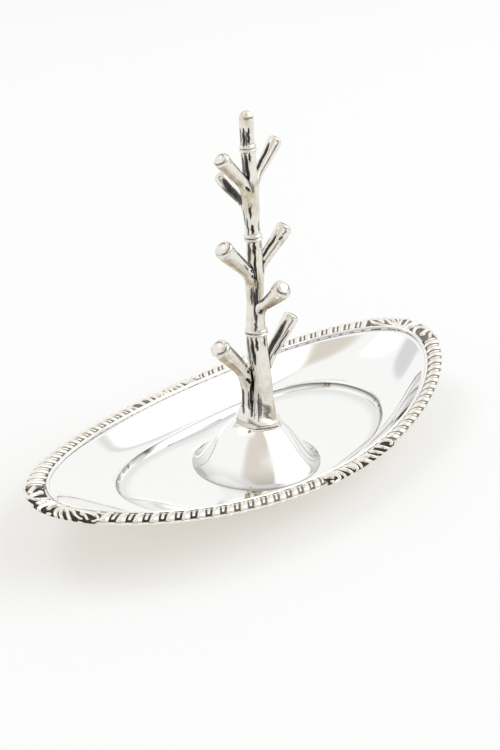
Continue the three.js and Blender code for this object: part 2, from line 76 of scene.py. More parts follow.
# Studio: a table of opal acrylic, with a faint warm lamp below it, inside a white tent, and
# soft lamps above and beside it. The world holds what the polished silver mirrors: a bright
# window for each lamp, grey zones of the tent, and the room seen below the tent's skirt.

FLOOR_HALF = 3.0
FLOOR_COLOUR = "#A5B0B9"
FLOOR_GLOW = "#BCB1A3"
TENT_WHITE = "#FFFFFF"
TENT_ZONES = [
    # azimuth and elevation of a zone's middle, and its soft edge from and to a cosine of the
    # angle off the middle; the same of a zone that bounds it; colour
    ((-20, 66), (0.92, 0.985), None, "#DFD8CD"),
    ((-62, 52), (0.92, 0.995), None, "#E2D9D0"),
    ((44, 40), (0.795, 0.85), ((100, 0), (0.05, 0.35)), "#CCC7C4"),
    ((168, 36), (0.972, 0.992), None, "#E0DDDF"),
    ((-20, 0), (-0.09, 0.17), ((0, -90), (-0.44, -0.14)), "#7D766F"),
]
WINDOWS = [
    # azimuth and elevation of a lamp as the silver mirrors it, soft edges, brightness
    ((44, 40), (0.815, 0.89), 1.6),
    ((-160, 62), (0.93, 0.98), 1.2),
]
TENT_FILL = 0.82
LAMPS = [
    # name, azimuth and elevation it shines from, distance, width, height, power in watts
    ("key_softbox", 44, 40, 2.2, 2.35, 1.65, 26.5),
    ("top_softbox", -160, 62, 2.2, 1.2, 1.0, 9.2),
]


def linear(code, alpha=1.0):
    """An sRGB hex colour as the linear colour that Blender's sockets hold."""
    shares = [int(code[place:place + 2], 16) / 255 for place in (1, 3, 5)]
    return [c / 12.92 if c <= 0.04045 else ((c + 0.055) / 1.055) ** 2.4 for c in shares] + [alpha]


def add_node(tree, kind, inputs=None, **settings):
    """Adds one node, sets its own settings, and fills its inputs or links them to sockets,
    where a node stands for its first output."""
    node = tree.nodes.new(kind)
    for name, value in settings.items():
        setattr(node, name, value)
    for place, value in (inputs or {}).items():
        if isinstance(value, bpy.types.Node):
            value = value.outputs[0]
        if isinstance(value, bpy.types.NodeSocket):
            tree.links.new(value, node.inputs[place])
        else:
            node.inputs[place].default_value = value
    return node


def new_material(name):
    """An empty material and its node tree."""
    material = bpy.data.materials.new(name)
    material.use_nodes = True
    material.node_tree.nodes.clear()
    return material, material.node_tree


def mesh_piece(name, points, faces, material):
    """A smooth-shaded mesh object from points in millimetres."""
    mesh = bpy.data.meshes.new(name)
    mesh.from_pydata((np.asarray(points, float).reshape(-1, 3) * MM).tolist(), [], faces)
    mesh.validate()
    mesh.shade_smooth()
    mesh.materials.append(material)
    piece = bpy.data.objects.new(name, mesh)
    scene.collection.objects.link(piece)
    return piece


def direction_from(azimuth, elevation):
    """The direction towards a place round the object, azimuth 0 being its front."""
    turn, up = math.radians(azimuth), math.radians(elevation)
    return Vector((
        math.sin(turn) * math.cos(up), -math.cos(turn) * math.cos(up), math.sin(up)))


table_top, tree = new_material("lit_opal_table")
matt = add_node(tree, "ShaderNodeBsdfDiffuse", {"Color": linear(FLOOR_COLOUR)})
glow = add_node(tree, "ShaderNodeEmission", {"Color": linear(FLOOR_GLOW), "Strength": 1.0})
both = add_node(tree, "ShaderNodeAddShader", {0: matt, 1: glow})
add_node(tree, "ShaderNodeOutputMaterial", {"Surface": both})
half_mm = FLOOR_HALF / MM
floor = mesh_piece(
    "table", [(-half_mm, -half_mm, 0), (half_mm, -half_mm, 0),
              (half_mm, half_mm, 0), (-half_mm, half_mm, 0)],
    [(0, 1, 2, 3)], table_top)

tent = bpy.data.worlds.new("white_tent")
tent.use_nodes = True
tree = tent.node_tree
tree.nodes.clear()
rays = add_node(tree, "ShaderNodeLightPath")
sky = add_node(tree, "ShaderNodeTexCoord")


def seen_share(place, edges):
    """The share, with a soft edge, of a round zone of the tent about a place on it."""
    nearness = add_node(
        tree, "ShaderNodeVectorMath",
        {0: sky.outputs["Generated"], 1: direction_from(*place)}, operation="DOT_PRODUCT")
    return add_node(
        tree, "ShaderNodeMapRange",
        {"Value": nearness.outputs["Value"], "From Min": edges[0], "From Max": edges[1]},
        interpolation_type="SMOOTHSTEP")


mirrored = linear(TENT_WHITE)
for place, edges, bound, code in TENT_ZONES:
    share = seen_share(place, edges)
    if bound:
        share = add_node(
            tree, "ShaderNodeMath", {0: share, 1: seen_share(*bound)}, operation="MULTIPLY")
    mirrored = add_node(
        tree, "ShaderNodeMix", {0: share, 6: mirrored, 7: linear(code)},
        data_type="RGBA").outputs[2]
glossy = add_node(tree, "ShaderNodeBackground", {"Color": mirrored, "Strength": 1.0})
for place, edges, level in WINDOWS:
    window = add_node(
        tree, "ShaderNodeBackground", {"Color": linear(TENT_WHITE), "Strength": level})
    glossy = add_node(
        tree, "ShaderNodeMixShader", {0: seen_share(place, edges), 1: glossy, 2: window})
fill = add_node(
    tree, "ShaderNodeBackground", {"Color": linear(TENT_WHITE), "Strength": TENT_FILL})
backdrop = add_node(
    tree, "ShaderNodeBackground", {"Color": linear(TENT_WHITE), "Strength": 1.0})
lit = add_node(
    tree, "ShaderNodeMixShader",
    {0: rays.outputs["Is Glossy Ray"], 1: fill, 2: glossy})
shown = add_node(
    tree, "ShaderNodeMixShader",
    {0: rays.outputs["Is Camera Ray"], 1: lit, 2: backdrop})
add_node(tree, "ShaderNodeOutputWorld", {"Surface": shown})
scene.world = tent

for lamp_name, azimuth, elevation, distance, wide, high, power in LAMPS:
    lamp_data = bpy.data.lights.new(lamp_name, "AREA")
    lamp_data.shape = "RECTANGLE"
    lamp_data.size = wide
    lamp_data.size_y = high
    lamp_data.energy = power
    lamp = bpy.data.objects.new(lamp_name, lamp_data)
    shining_from = direction_from(azimuth, elevation)
    lamp.location = shining_from * distance
    lamp.rotation_mode = "QUATERNION"
    lamp.rotation_quaternion = (-shining_from).to_track_quat("-Z", "Y")
    lamp.visible_glossy = False
    scene.collection.objects.link(lamp)

# Dish: one sheet of brass pressed to a boat-shaped oval, silver plated and polished. The
# shallow well meets the broad flange at a crisp crease, and a hole under the mound lets a
# spanner reach the nut.

DISH_LENGTH = 140
DISH_WIDTH = 65.3
DISH_POWER = 1.88
SHEET = 0.7
RIM_HEIGHT = 9.6
END_RISE = 6.8
CREASE_LENGTH = 84.4
CREASE_WIDTH = 44
CREASE_POWER = 2.28
CREASE_HEIGHT = 3.5
ACCESS_HOLE_RADIUS = 10
MOUND_RADIUS = 16
WELL_FLAT_SHARE = 0.18
WELL_CURVE_POWER = 1.7
WALL_RISE = 1.3
WALL_RUN = 0.8
WALL_ROUNDING = 0.5
SHOULDER_WIDTHS = (0.5, 2.6)
SHOULDER_PROUD = 0.22
SHOULDER_LEAN_POWER = 0.7
FLANGE_HOLLOW_SHARE = 0.14
SIDE_BORDER_WIDTH = 3.2
END_BORDER_WIDTH = 5.3
BORDER_SPREAD_POWER = 4
BEAD_DIAMETER = 0.8
LIP_THICKNESS = 0.5
SOLDER_GAP = 0.3
DISH_STATIONS = 360
WELL_STEPS = 16
FLANGE_STEPS = 34
FLANGE_CROWDING = 1.5
CREASE_ROUNDING = 0.1
CORNER_STEPS = 5
DOUBLES_APART = 0.002
# Painted shade in the crease: a thin dark line along it, stronger towards the ends, and a faint
# band on the wall inside it.
CREASE_SHADE_HALF = 0.26
CREASE_SHADE_SHIFT = 0.1
CREASE_SHADE_SHARES = (0.5, 0.95)
WALL_SHADE_SHARE = 0.17
WALL_SHADE_PLACE = 1.9
WALL_SHADE_HALF = 1.5
SILVER_PLATE = "#F7F7F6"
SILVER_ROUGHNESS = (0.035, 0.065)
HAZE_SIZE = 6.25
HAZE_EDGES = (0.3, 0.75)
WAVE_LENGTH = 18.182
WAVE_DEPTH = 0.02
# Grey of the painted shade in the dish's crease and round the mound's foot.
PAINTED_SHADE_GREY = "#4B4844"


def metal_surface(tree, colour, roughness, relief, depth):
    """Metal of a colour and roughness, its surface uneven to a depth in millimetres."""
    bump = add_node(
        tree, "ShaderNodeBump", {"Height": relief, "Strength": 1.0, "Distance": depth * MM})
    metal = add_node(
        tree, "ShaderNodeBsdfPrincipled",
        {"Base Color": colour, "Metallic": 1.0, "Roughness": roughness, "Normal": bump})
    add_node(tree, "ShaderNodeOutputMaterial", {"Surface": metal})


def silver_material():
    """Polished silver plate: a mirror with a faint hand-polished haze and soft waves, and with
    grey painted shade where the attribute says, in the dish's crease and round the mound's foot.
    A cloth's own marks are too fine to show, so the haze is drawn as coarse as its patches."""
    material, tree = new_material("polished_silver_plate")
    place = add_node(tree, "ShaderNodeTexCoord").outputs["Object"]
    haze = add_node(
        tree, "ShaderNodeTexNoise",
        {"Vector": place, "Scale": 1 / (HAZE_SIZE * MM), "Detail": 4.0})
    roughness = add_node(
        tree, "ShaderNodeMapRange",
        {"Value": haze, "From Min": HAZE_EDGES[0], "From Max": HAZE_EDGES[1],
         "To Min": SILVER_ROUGHNESS[0], "To Max": SILVER_ROUGHNESS[1]})
    waves = add_node(
        tree, "ShaderNodeTexNoise",
        {"Vector": place, "Scale": 1 / (WAVE_LENGTH * MM), "Detail": 1.0})
    # This attribute is painted shade: it greys the dish's crease and the mound's foot.
    tint = add_node(tree, "ShaderNodeAttribute", attribute_name="tarnish")
    colour = add_node(
        tree, "ShaderNodeMix",
        {0: tint.outputs["Fac"], 6: linear(SILVER_PLATE), 7: linear(PAINTED_SHADE_GREY)},
        data_type="RGBA").outputs[2]
    metal_surface(tree, colour, roughness, waves, WAVE_DEPTH)
    return material


def unit(vectors):
    return vectors / np.linalg.norm(vectors, axis=-1, keepdims=True)


def oval(half_long, half_short, power, angle):
    """Points of a superellipse, as an array with a row for each angle."""
    across, along = np.cos(angle), np.sin(angle)
    return np.stack([
        half_long * np.sign(across) * np.abs(across) ** (2 / power),
        half_short * np.sign(along) * np.abs(along) ** (2 / power),
        np.zeros_like(angle)], axis=-1)


RIM_SAMPLES = 5760
rim_angles = np.linspace(0, 2 * np.pi, RIM_SAMPLES + 1)
rim_outline = oval(DISH_LENGTH / 2, DISH_WIDTH / 2, DISH_POWER, rim_angles)
rim_distances = np.concatenate([
    [0], np.cumsum(np.linalg.norm(np.diff(rim_outline, axis=0), axis=1))])
rim_length = rim_distances[-1]
quarter_rim = rim_length / 4


def boat_lift(x):
    return END_RISE * (x / (DISH_LENGTH / 2)) ** 2


def border_width(x):
    share = np.minimum(np.abs(x) / (DISH_LENGTH / 2), 1) ** BORDER_SPREAD_POWER
    return SIDE_BORDER_WIDTH + (END_BORDER_WIDTH - SIDE_BORDER_WIDTH) * share


def rim_angle(distance):
    return np.interp(np.mod(distance, rim_length), rim_distances, rim_angles)


def rim_points(distance, inset, level):
    """Points at a distance along the rim, moved in from it and up from the seat's level."""
    point = oval(DISH_LENGTH / 2, DISH_WIDTH / 2, DISH_POWER, rim_angle(distance))
    slope = np.sign(point[..., :2]) * np.abs(
        point[..., :2] / [DISH_LENGTH / 2, DISH_WIDTH / 2]) ** (DISH_POWER - 1)
    slope /= [DISH_LENGTH / 2, DISH_WIDTH / 2]
    point[..., :2] -= unit(slope) * np.asarray(inset)[..., None]
    point[..., 2] = level + boat_lift(point[..., 0])
    return point


def band_faces(rows, columns, rows_close, columns_close):
    """Four-sided faces between the points of a grid, row by row."""
    faces = []
    for row in range(rows if rows_close else rows - 1):
        beside_row = (row + 1) % rows
        for column in range(columns if columns_close else columns - 1):
            beside = (column + 1) % columns
            faces.append((
                row * columns + column, beside_row * columns + column,
                beside_row * columns + beside, row * columns + beside))
    return faces


def outward(piece):
    """Welds doubles, turns the faces outwards and keeps the smooth shading."""
    work = bmesh.new()
    work.from_mesh(piece.data)
    bmesh.ops.remove_doubles(work, verts=work.verts, dist=DOUBLES_APART * MM)
    bmesh.ops.recalc_face_normals(work, faces=work.faces)
    work.to_mesh(piece.data)
    work.free()
    piece.data.shade_smooth()


def mark(piece, **values):
    """Stores a value for each point of a piece, which its material or its nodes read."""
    for label, value in values.items():
        attribute = piece.data.attributes.new(label, "FLOAT", "POINT")
        attribute.data.foreach_set("value", np.ravel(value).astype(np.float32))


def rounded_corner(before, corner, after, rounding):
    """Rings that take a corner of the section on a small curve between its neighbours."""
    arriving = corner - unit(corner - before) * rounding
    leaving = corner + unit(after - corner) * rounding
    rings = []
    for step in range(CORNER_STEPS + 1):
        share = step / CORNER_STEPS
        rings.append(
            arriving * (1 - share) ** 2 + corner * 2 * share * (1 - share)
            + leaving * share ** 2)
    return rings


def dish_top():
    """The sheet's upper face, its rings running from the access hole out to the border's seat,
    and the share of painted shade on it: a thin dark line in the crease and a faint band inside
    it."""
    stations = np.arange(DISH_STATIONS) * rim_length / DISH_STATIONS
    angle = rim_angle(stations)
    hole = oval(ACCESS_HOLE_RADIUS, ACCESS_HOLE_RADIUS, 2, angle)
    foot = oval(MOUND_RADIUS, MOUND_RADIUS, 2, angle)
    crease = oval(CREASE_LENGTH / 2, CREASE_WIDTH / 2, CREASE_POWER, angle)
    crease[:, 2] = CREASE_HEIGHT + boat_lift(crease[:, 0])
    wall_foot = crease - unit(crease * [1, 1, 0]) * WALL_RUN - [0, 0, WALL_RISE]
    flat_end = foot + WELL_FLAT_SHARE * (wall_foot - foot)
    hole[:, 2] = flat_end[:, 2] = SHEET
    rings = [hole, (hole + flat_end) / 2]
    for step in range(WELL_STEPS):
        share = step / WELL_STEPS
        ring = flat_end + share * (wall_foot - flat_end)
        ring[:, 2] = SHEET + (wall_foot[:, 2] - SHEET) * share ** WELL_CURVE_POWER
        rings.append(ring)
    rings += rounded_corner(rings[-1], wall_foot, crease, WALL_ROUNDING)
    width = border_width(oval(DISH_LENGTH / 2, DISH_WIDTH / 2, DISH_POWER, angle)[:, 0])
    knee = rim_points(stations, width + BEAD_DIAMETER, RIM_HEIGHT)
    end_share = np.abs(crease[:, 0]) / (CREASE_LENGTH / 2)
    shoulder = SHOULDER_WIDTHS[0] + (SHOULDER_WIDTHS[1] - SHOULDER_WIDTHS[0]) * end_share ** 3
    shoulder /= np.linalg.norm((knee - crease)[:, :2], axis=1)
    flange = []
    for step in range(FLANGE_STEPS + 1):
        share = (step / FLANGE_STEPS) ** FLANGE_CROWDING
        ring = crease + share * (knee - crease)
        rise = share - FLANGE_HOLLOW_SHARE * math.sin(math.pi * share)
        ring[:, 2] = crease[:, 2] + (knee[:, 2] - crease[:, 2]) * rise
        bulge = np.clip(share / shoulder, 0, 1)
        ring[:, 2] += SHOULDER_PROUD * np.sin(np.pi * bulge ** SHOULDER_LEAN_POWER) ** 2
        flange.append(ring)
    rings += rounded_corner(rings[-1], crease, flange[1], CREASE_ROUNDING) + flange[1:]
    rings.append(rim_points(stations, width / 2, RIM_HEIGHT))
    rings.append(rim_points(
        stations, np.full(DISH_STATIONS, LIP_THICKNESS + SOLDER_GAP), RIM_HEIGHT))
    top = np.stack(rings, axis=1)
    # Painted shade: a dark line along the crease and a faint grey band on the wall inside it.
    line = crease - [0, 0, CREASE_SHADE_SHIFT]
    off_line = np.linalg.norm(top - line[:, None], axis=-1) / CREASE_SHADE_HALF
    low, high = CREASE_SHADE_SHARES
    strength = low + (high - low) * end_share[:, None] ** 2
    inwards = np.linalg.norm(crease[:, None, :2], axis=-1) - np.linalg.norm(top[..., :2], axis=-1)
    wall = WALL_SHADE_SHARE * np.exp(-((inwards - WALL_SHADE_PLACE) / WALL_SHADE_HALF) ** 2)
    return top, np.maximum(strength * np.exp(-off_line ** 2), wall)


def thickened(top, thickness):
    """A sheet's closed section: its upper face, and the face below it."""
    around = np.roll(top, -1, axis=0) - np.roll(top, 1, axis=0)
    outwards = np.gradient(top, axis=1)
    under = top - unit(np.cross(outwards, around)) * thickness
    flat = top[..., 2] <= SHEET + 1e-6
    under[flat] = top[flat] * [1, 1, 0]
    return np.concatenate([top, under[:, ::-1]], axis=1)


silver_plate = silver_material()
dish_face, dish_painted_shade = dish_top()
dish_grid = thickened(dish_face, SHEET)
dish = mesh_piece(
    "pressed_dish", dish_grid, band_faces(*dish_grid.shape[:2], True, True), silver_plate)
dish_painted_shade = np.concatenate([dish_painted_shade, np.zeros_like(dish_painted_shade)], axis=1)
mark(dish, tarnish=dish_painted_shade)
outward(dish)
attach(dish, "root")
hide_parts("dish")

# Bead wire: plain drawn silver wire, bent to the rim and soldered along the inner edge of the
# border, where it hides the joint.

BEAD_SIDES = 14
BEAD_LENGTHS = 480
WELD = 0.004


def rim_curve():
    """The rim as a closed curve that the nodes sample by distance."""
    data = bpy.data.curves.new("rim_line", "CURVE")
    data.dimensions = "3D"
    spline = data.splines.new("POLY")
    spline.points.add(RIM_SAMPLES - 1)
    points = np.ones((RIM_SAMPLES, 4))
    points[:, :3] = rim_outline[:-1] * MM
    spline.points.foreach_set("co", points.ravel())
    spline.use_cyclic_u = True
    line = bpy.data.objects.new("rim_line", data)
    scene.collection.objects.link(line)
    return line


def bending_nodes():
    """Nodes that set copies of a straight strip end to end and bend the row round the rim.
    The strip's X is the distance along the rim, its Y the share of the border's width in from
    the rim and its Z the height above the seat; the attribute inset adds a fixed distance."""
    tree = bpy.data.node_groups.new("row_bent_round_the_rim", "GeometryNodeTree")
    tree.interface.new_socket("Geometry", in_out="OUTPUT", socket_type="NodeSocketGeometry")
    named = {}
    for name, kind in (
            ("Strip", "Geometry"), ("Rim", "Object"), ("Copies", "Int"), ("Start", "Float"),
            ("Pitch", "Float"), ("Side Width", "Float"), ("End Width", "Float"),
            ("Inner Margin", "Float"), ("Seat Level", "Float"), ("End Rise", "Float"),
            ("Half Length", "Float"), ("Weld", "Float"), ("Finish", "Material")):
        socket = tree.interface.new_socket(
            name, in_out="INPUT", socket_type="NodeSocket" + kind)
        named[name] = socket.identifier
    given = add_node(tree, "NodeGroupInput").outputs
    start = add_node(tree, "ShaderNodeCombineXYZ", {0: given["Start"]})
    pitch = add_node(tree, "ShaderNodeCombineXYZ", {0: given["Pitch"]})
    row = add_node(
        tree, "GeometryNodeMeshLine",
        {"Count": given["Copies"], "Start Location": start,
         "Offset": pitch}, mode="OFFSET")
    copies = add_node(
        tree, "GeometryNodeInstanceOnPoints",
        {"Points": row, "Instance": given["Strip"]})
    real = add_node(tree, "GeometryNodeRealizeInstances", {0: copies})
    place = add_node(tree, "GeometryNodeInputPosition")
    strip = add_node(tree, "ShaderNodeSeparateXYZ", {0: place}).outputs
    rim = add_node(
        tree, "GeometryNodeObjectInfo", {"Object": given["Rim"]}).outputs["Geometry"]
    whole = add_node(tree, "GeometryNodeCurveLength", {0: rim})
    distance = add_node(
        tree, "ShaderNodeMath", {0: strip[0], 1: whole}, operation="FLOORED_MODULO")
    sample = add_node(
        tree, "GeometryNodeSampleCurve", {"Curves": rim, "Length": distance},
        mode="LENGTH", use_all_curves=True).outputs
    side = add_node(
        tree, "ShaderNodeVectorMath", {0: (0, 0, 1), 1: sample["Tangent"]},
        operation="CROSS_PRODUCT")
    side = add_node(tree, "ShaderNodeVectorMath", {0: side}, operation="NORMALIZE")
    rim_x = add_node(tree, "ShaderNodeSeparateXYZ", {0: sample["Position"]})
    end_share = add_node(
        tree, "ShaderNodeMath", {0: rim_x, 1: given["Half Length"]}, operation="DIVIDE")
    end_share = add_node(tree, "ShaderNodeMath", {0: end_share}, operation="ABSOLUTE")
    end_share = add_node(
        tree, "ShaderNodeMath", {0: end_share, 1: BORDER_SPREAD_POWER}, operation="POWER")
    width = add_node(
        tree, "ShaderNodeMix", {0: end_share, 2: given["Side Width"], 3: given["End Width"]},
        data_type="FLOAT")
    free_width = add_node(
        tree, "ShaderNodeMath", {0: width, 1: given["Inner Margin"]}, operation="SUBTRACT")
    inset = add_node(
        tree, "GeometryNodeInputNamedAttribute", {"Name": "inset"}, data_type="FLOAT")
    inwards = add_node(
        tree, "ShaderNodeMath", {0: strip[1], 1: free_width, 2: inset},
        operation="MULTIPLY_ADD")
    moved = add_node(
        tree, "ShaderNodeVectorMath", {0: side, "Scale": inwards}, operation="SCALE")
    flat = add_node(
        tree, "ShaderNodeVectorMath", {0: sample["Position"], 1: moved}, operation="ADD")
    flat = add_node(tree, "ShaderNodeSeparateXYZ", {0: flat}).outputs
    along_share = add_node(
        tree, "ShaderNodeMath", {0: flat[0], 1: given["Half Length"]}, operation="DIVIDE")
    lift_share = add_node(
        tree, "ShaderNodeMath", {0: along_share, 1: along_share}, operation="MULTIPLY")
    seated = add_node(
        tree, "ShaderNodeMath", {0: strip[2], 1: given["Seat Level"]}, operation="ADD")
    level = add_node(
        tree, "ShaderNodeMath", {0: given["End Rise"], 1: lift_share, 2: seated},
        operation="MULTIPLY_ADD")
    bent = add_node(tree, "ShaderNodeCombineXYZ", {0: flat[0], 1: flat[1], 2: level})
    placed = add_node(
        tree, "GeometryNodeSetPosition",
        {"Geometry": real, "Position": bent})
    welded = add_node(
        tree, "GeometryNodeMergeByDistance",
        {"Geometry": placed, "Distance": given["Weld"]})
    smooth = add_node(tree, "GeometryNodeSetShadeSmooth", {"Geometry": welded})
    finished = add_node(
        tree, "GeometryNodeSetMaterial",
        {"Geometry": smooth, "Material": given["Finish"]})
    add_node(tree, "NodeGroupOutput", {0: finished})
    return tree, named


rim_line = rim_curve()
bending, bending_inputs = bending_nodes()


def bent_row(name, strip, inset, recess, columns_close, copies, start, pitch, material):
    """One piece of the border: a strip in millimetres, repeated and bent round the rim."""
    strip_piece = mesh_piece(
        name + "_strip", strip * [1, 1 / MM, 1],
        band_faces(*strip.shape[:2], False, columns_close), material)
    mark(strip_piece, inset=inset * MM, recess=recess)
    row = strip_piece.modifiers.new("bent_row", "NODES")
    row.node_group = bending
    values = {
        "Rim": rim_line, "Copies": copies, "Start": start * MM, "Pitch": pitch * MM,
        "Side Width": SIDE_BORDER_WIDTH * MM, "End Width": END_BORDER_WIDTH * MM,
        "Inner Margin": (BEAD_DIAMETER / 2 + SOLDER_GAP) * MM,
        "Seat Level": (RIM_HEIGHT + SOLDER_GAP) * MM, "End Rise": END_RISE * MM,
        "Half Length": DISH_LENGTH / 2 * MM, "Weld": WELD * MM, "Finish": material}
    for label, value in values.items():
        row[bending_inputs[label]] = value
    evaluated = strip_piece.evaluated_get(bpy.context.evaluated_depsgraph_get())
    bent_mesh = bpy.data.meshes.new_from_object(evaluated)
    bent_mesh.name = name
    piece = bpy.data.objects.new(name, bent_mesh)
    scene.collection.objects.link(piece)
    bpy.data.objects.remove(strip_piece)
    work = bmesh.new()
    work.from_mesh(bent_mesh)
    open_edges = [edge for edge in work.edges if edge.is_boundary]
    bmesh.ops.holes_fill(work, edges=open_edges)
    bmesh.ops.recalc_face_normals(work, faces=work.faces)
    work.to_mesh(bent_mesh)
    work.free()
    return piece


bead_turn = 2 * np.pi * np.arange(BEAD_SIDES) / BEAD_SIDES
bead_strip = np.zeros((2, BEAD_SIDES, 3))
bead_strip[1, :, 0] = rim_length / BEAD_LENGTHS
bead_strip[:, :, 1] = 1
bead_strip[:, :, 2] = BEAD_DIAMETER / 2 * (1 + np.sin(bead_turn))
bead_inset = np.broadcast_to(
    BEAD_DIAMETER / 2 + SOLDER_GAP + BEAD_DIAMETER / 2 * np.cos(bead_turn), (2, BEAD_SIDES))
bead_wire = bent_row(
    "drawn_bead_wire", bead_strip, bead_inset, np.zeros((2, BEAD_SIDES)), True,
    BEAD_LENGTHS, 0, rim_length / BEAD_LENGTHS, silver_plate)
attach(bead_wire, "root")
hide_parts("bead_wire")

# Gadroon border: four cast lengths soldered over the rim. Each repeat is a fat comma-shaped
# lobe and a thinner rib, over a plain lip. The casting is plated, blackened and polished
# again, so that only its hollows stay dark.

GADROON_PITCH = 3.6
GADROON_SLANT = 1.8
END_SHELL_LENGTH = 26
SIDE_SHELL_LENGTH = 26.8
ROLL_HEIGHT = 0.72
LOBE_RELIEF = 0.5
LOBE_STEPS = 20
ROLL_STEPS = 18
LOBE_CENTRE_SHARE = 0.34
LOBE_HALF_SHARES = (0.2, 0.31)
RIB_CENTRE_SHARE = 0.82
RIB_HALF_SHARE = 0.1
RIB_HEIGHT_SHARE = 0.6
RIB_RUN_SHARES = (0.16, 0.8)
LIP_SWELL = 0.2
ROLL_POWER = 0.9
RIB_END_POWER = 0.4
LOBE_END_START = 0.06
LOBE_END_POWER = 0.3
RECESS_CLEAR = 0.75
RECESS_END_POWER = 0.4
LIP_PROFILE = [
    # inset from the rim and height over the seat's solder, in millimetres
    (0.16, -0.04), (0.04, -0.12), (0.0, -0.26), (0.0, -0.42), (0.06, -0.58),
    (0.2, -0.7), (0.5, -0.7), (0.5, -0.35), (0.5, 0.0),
]
CAST_SILVER = "#F3EFE6"
CAST_ROUGHNESS = (0.14, 0.55)
CAST_GRAIN_SIZE = 0.71429
CAST_GRAIN_DEPTH = 0.01
OXIDE_PATCH_SIZE = 1.1111
OXIDE_PATCH_SHARE = 0.35
OXIDE_EDGES = (0.42, 0.78)
OXIDE = "#46423D"
WORN_OXIDE = "#8B867E"
WEAR_PLACES = (-48, -30)
WEAR_SIDES = (-2, 4)


def oxidised_material(name, worn):
    """Cast silver plate blackened with liver of sulphur, with its high places polished. Where
    it is worn, hands and cloth have left the hollows grey but for the front's left end. The
    sand's grain is drawn coarser than it is, to show."""
    material, tree = new_material(name)
    place = add_node(tree, "ShaderNodeTexCoord").outputs["Object"]
    recess = add_node(tree, "ShaderNodeAttribute", attribute_name="recess").outputs["Fac"]
    patches = add_node(
        tree, "ShaderNodeTexNoise",
        {"Vector": place, "Scale": 1 / (OXIDE_PATCH_SIZE * MM), "Detail": 3.0})
    patches = add_node(tree, "ShaderNodeMath", {0: patches, 1: 0.5}, operation="SUBTRACT")
    depth = add_node(
        tree, "ShaderNodeMath", {0: patches, 1: OXIDE_PATCH_SHARE, 2: recess},
        operation="MULTIPLY_ADD")
    dark = add_node(
        tree, "ShaderNodeMapRange",
        {"Value": depth, "From Min": OXIDE_EDGES[0], "From Max": OXIDE_EDGES[1]},
        interpolation_type="SMOOTHSTEP")
    axes = add_node(tree, "ShaderNodeSeparateXYZ", {0: place}).outputs
    along, back = [
        add_node(
            tree, "ShaderNodeMapRange",
            {"Value": axes[axis], "From Min": low * MM, "From Max": high * MM})
        for axis, (low, high) in (("X", WEAR_PLACES), ("Y", WEAR_SIDES))]
    wear = add_node(tree, "ShaderNodeMath", {0: along, 1: back}, operation="MAXIMUM")
    wear = add_node(tree, "ShaderNodeMath", {0: wear, 1: worn}, operation="MULTIPLY")
    hollow = add_node(
        tree, "ShaderNodeMix", {0: wear, 6: linear(OXIDE), 7: linear(WORN_OXIDE)},
        data_type="RGBA").outputs[2]
    colour = add_node(
        tree, "ShaderNodeMix", {0: dark, 6: linear(CAST_SILVER), 7: hollow},
        data_type="RGBA").outputs[2]
    roughness = add_node(
        tree, "ShaderNodeMapRange",
        {"Value": dark, "To Min": CAST_ROUGHNESS[0], "To Max": CAST_ROUGHNESS[1]})
    grain = add_node(
        tree, "ShaderNodeTexNoise",
        {"Vector": place, "Scale": 1 / (CAST_GRAIN_SIZE * MM), "Detail": 2.0})
    metal_surface(tree, colour, roughness, grain, CAST_GRAIN_DEPTH)
    return material


def roll(share):
    """The border's round section from its inner edge, 0, over the top to its outer edge, 1:
    share of the width in from the rim, height share, and the section's normal."""
    turn = np.pi * share
    return (1 + np.cos(turn)) / 2, np.sin(turn) ** ROLL_POWER, np.cos(turn), np.sin(turn)


def gadroon_strip(lean):
    """One lobe and one rib, as a strip with its lip and flat back."""
    along = np.linspace(0, 1, LOBE_STEPS + 1)[:, None]
    across = np.linspace(0, 1, ROLL_STEPS + 1)[None, :]
    width_share, height_share, normal_in, normal_up = roll(across)
    half = LOBE_HALF_SHARES[0] + (LOBE_HALF_SHARES[1] - LOBE_HALF_SHARES[0]) * across
    lobe = np.sqrt(np.clip(1 - ((along - LOBE_CENTRE_SHARE) / half) ** 2, 0, 1))
    rib = np.sqrt(np.clip(1 - ((along - RIB_CENTRE_SHARE) / RIB_HALF_SHARE) ** 2, 0, 1))
    rib_run = (across - RIB_RUN_SHARES[0]) / (RIB_RUN_SHARES[1] - RIB_RUN_SHARES[0])
    rib = rib * np.clip(4 * rib_run * (1 - rib_run), 0, 1) ** RIB_END_POWER
    ends = np.sin(np.pi * (LOBE_END_START + (1 - LOBE_END_START) * across))
    ends = np.clip(ends, 0, 1) ** LOBE_END_POWER
    relief = LOBE_RELIEF * np.maximum(lobe, RIB_HEIGHT_SHARE * rib) * ends
    shape = (LOBE_STEPS + 1, ROLL_STEPS + 1)
    top = np.empty(shape + (3,))
    top[..., 0] = along * GADROON_PITCH + lean * GADROON_SLANT * (0.5 - width_share)
    top[..., 1] = width_share
    top[..., 2] = ROLL_HEIGHT * height_share + relief * normal_up
    inset = relief * normal_in
    polished = np.clip(np.maximum(lobe, rib) / RECESS_CLEAR, 0, 1)
    recess = 1 - polished * ends ** RECESS_END_POWER
    lip = np.array(LIP_PROFILE)
    back = np.zeros((LOBE_STEPS + 1, len(lip) + 1, 3))
    back[..., :-1, 0] = along * GADROON_PITCH + lean * GADROON_SLANT / 2
    back[..., -1, 0] = (along * GADROON_PITCH - lean * GADROON_SLANT / 2)[:, 0]
    back[..., :-1, 2] = lip[:, 1]
    back[..., -1, 1] = 1
    back_inset = np.zeros(back.shape[:2])
    back_inset[:, :-1] = lip[:, 0]
    back_inset[:, 1:5] -= LIP_SWELL * (2 * lobe[:, -1:] - 1)
    back_recess = np.zeros(back.shape[:2])
    back_recess[:, 0] = 1
    return (np.concatenate([top, back], 1), np.concatenate([inset, back_inset], 1),
            np.concatenate([np.broadcast_to(recess, shape), back_recess], 1))


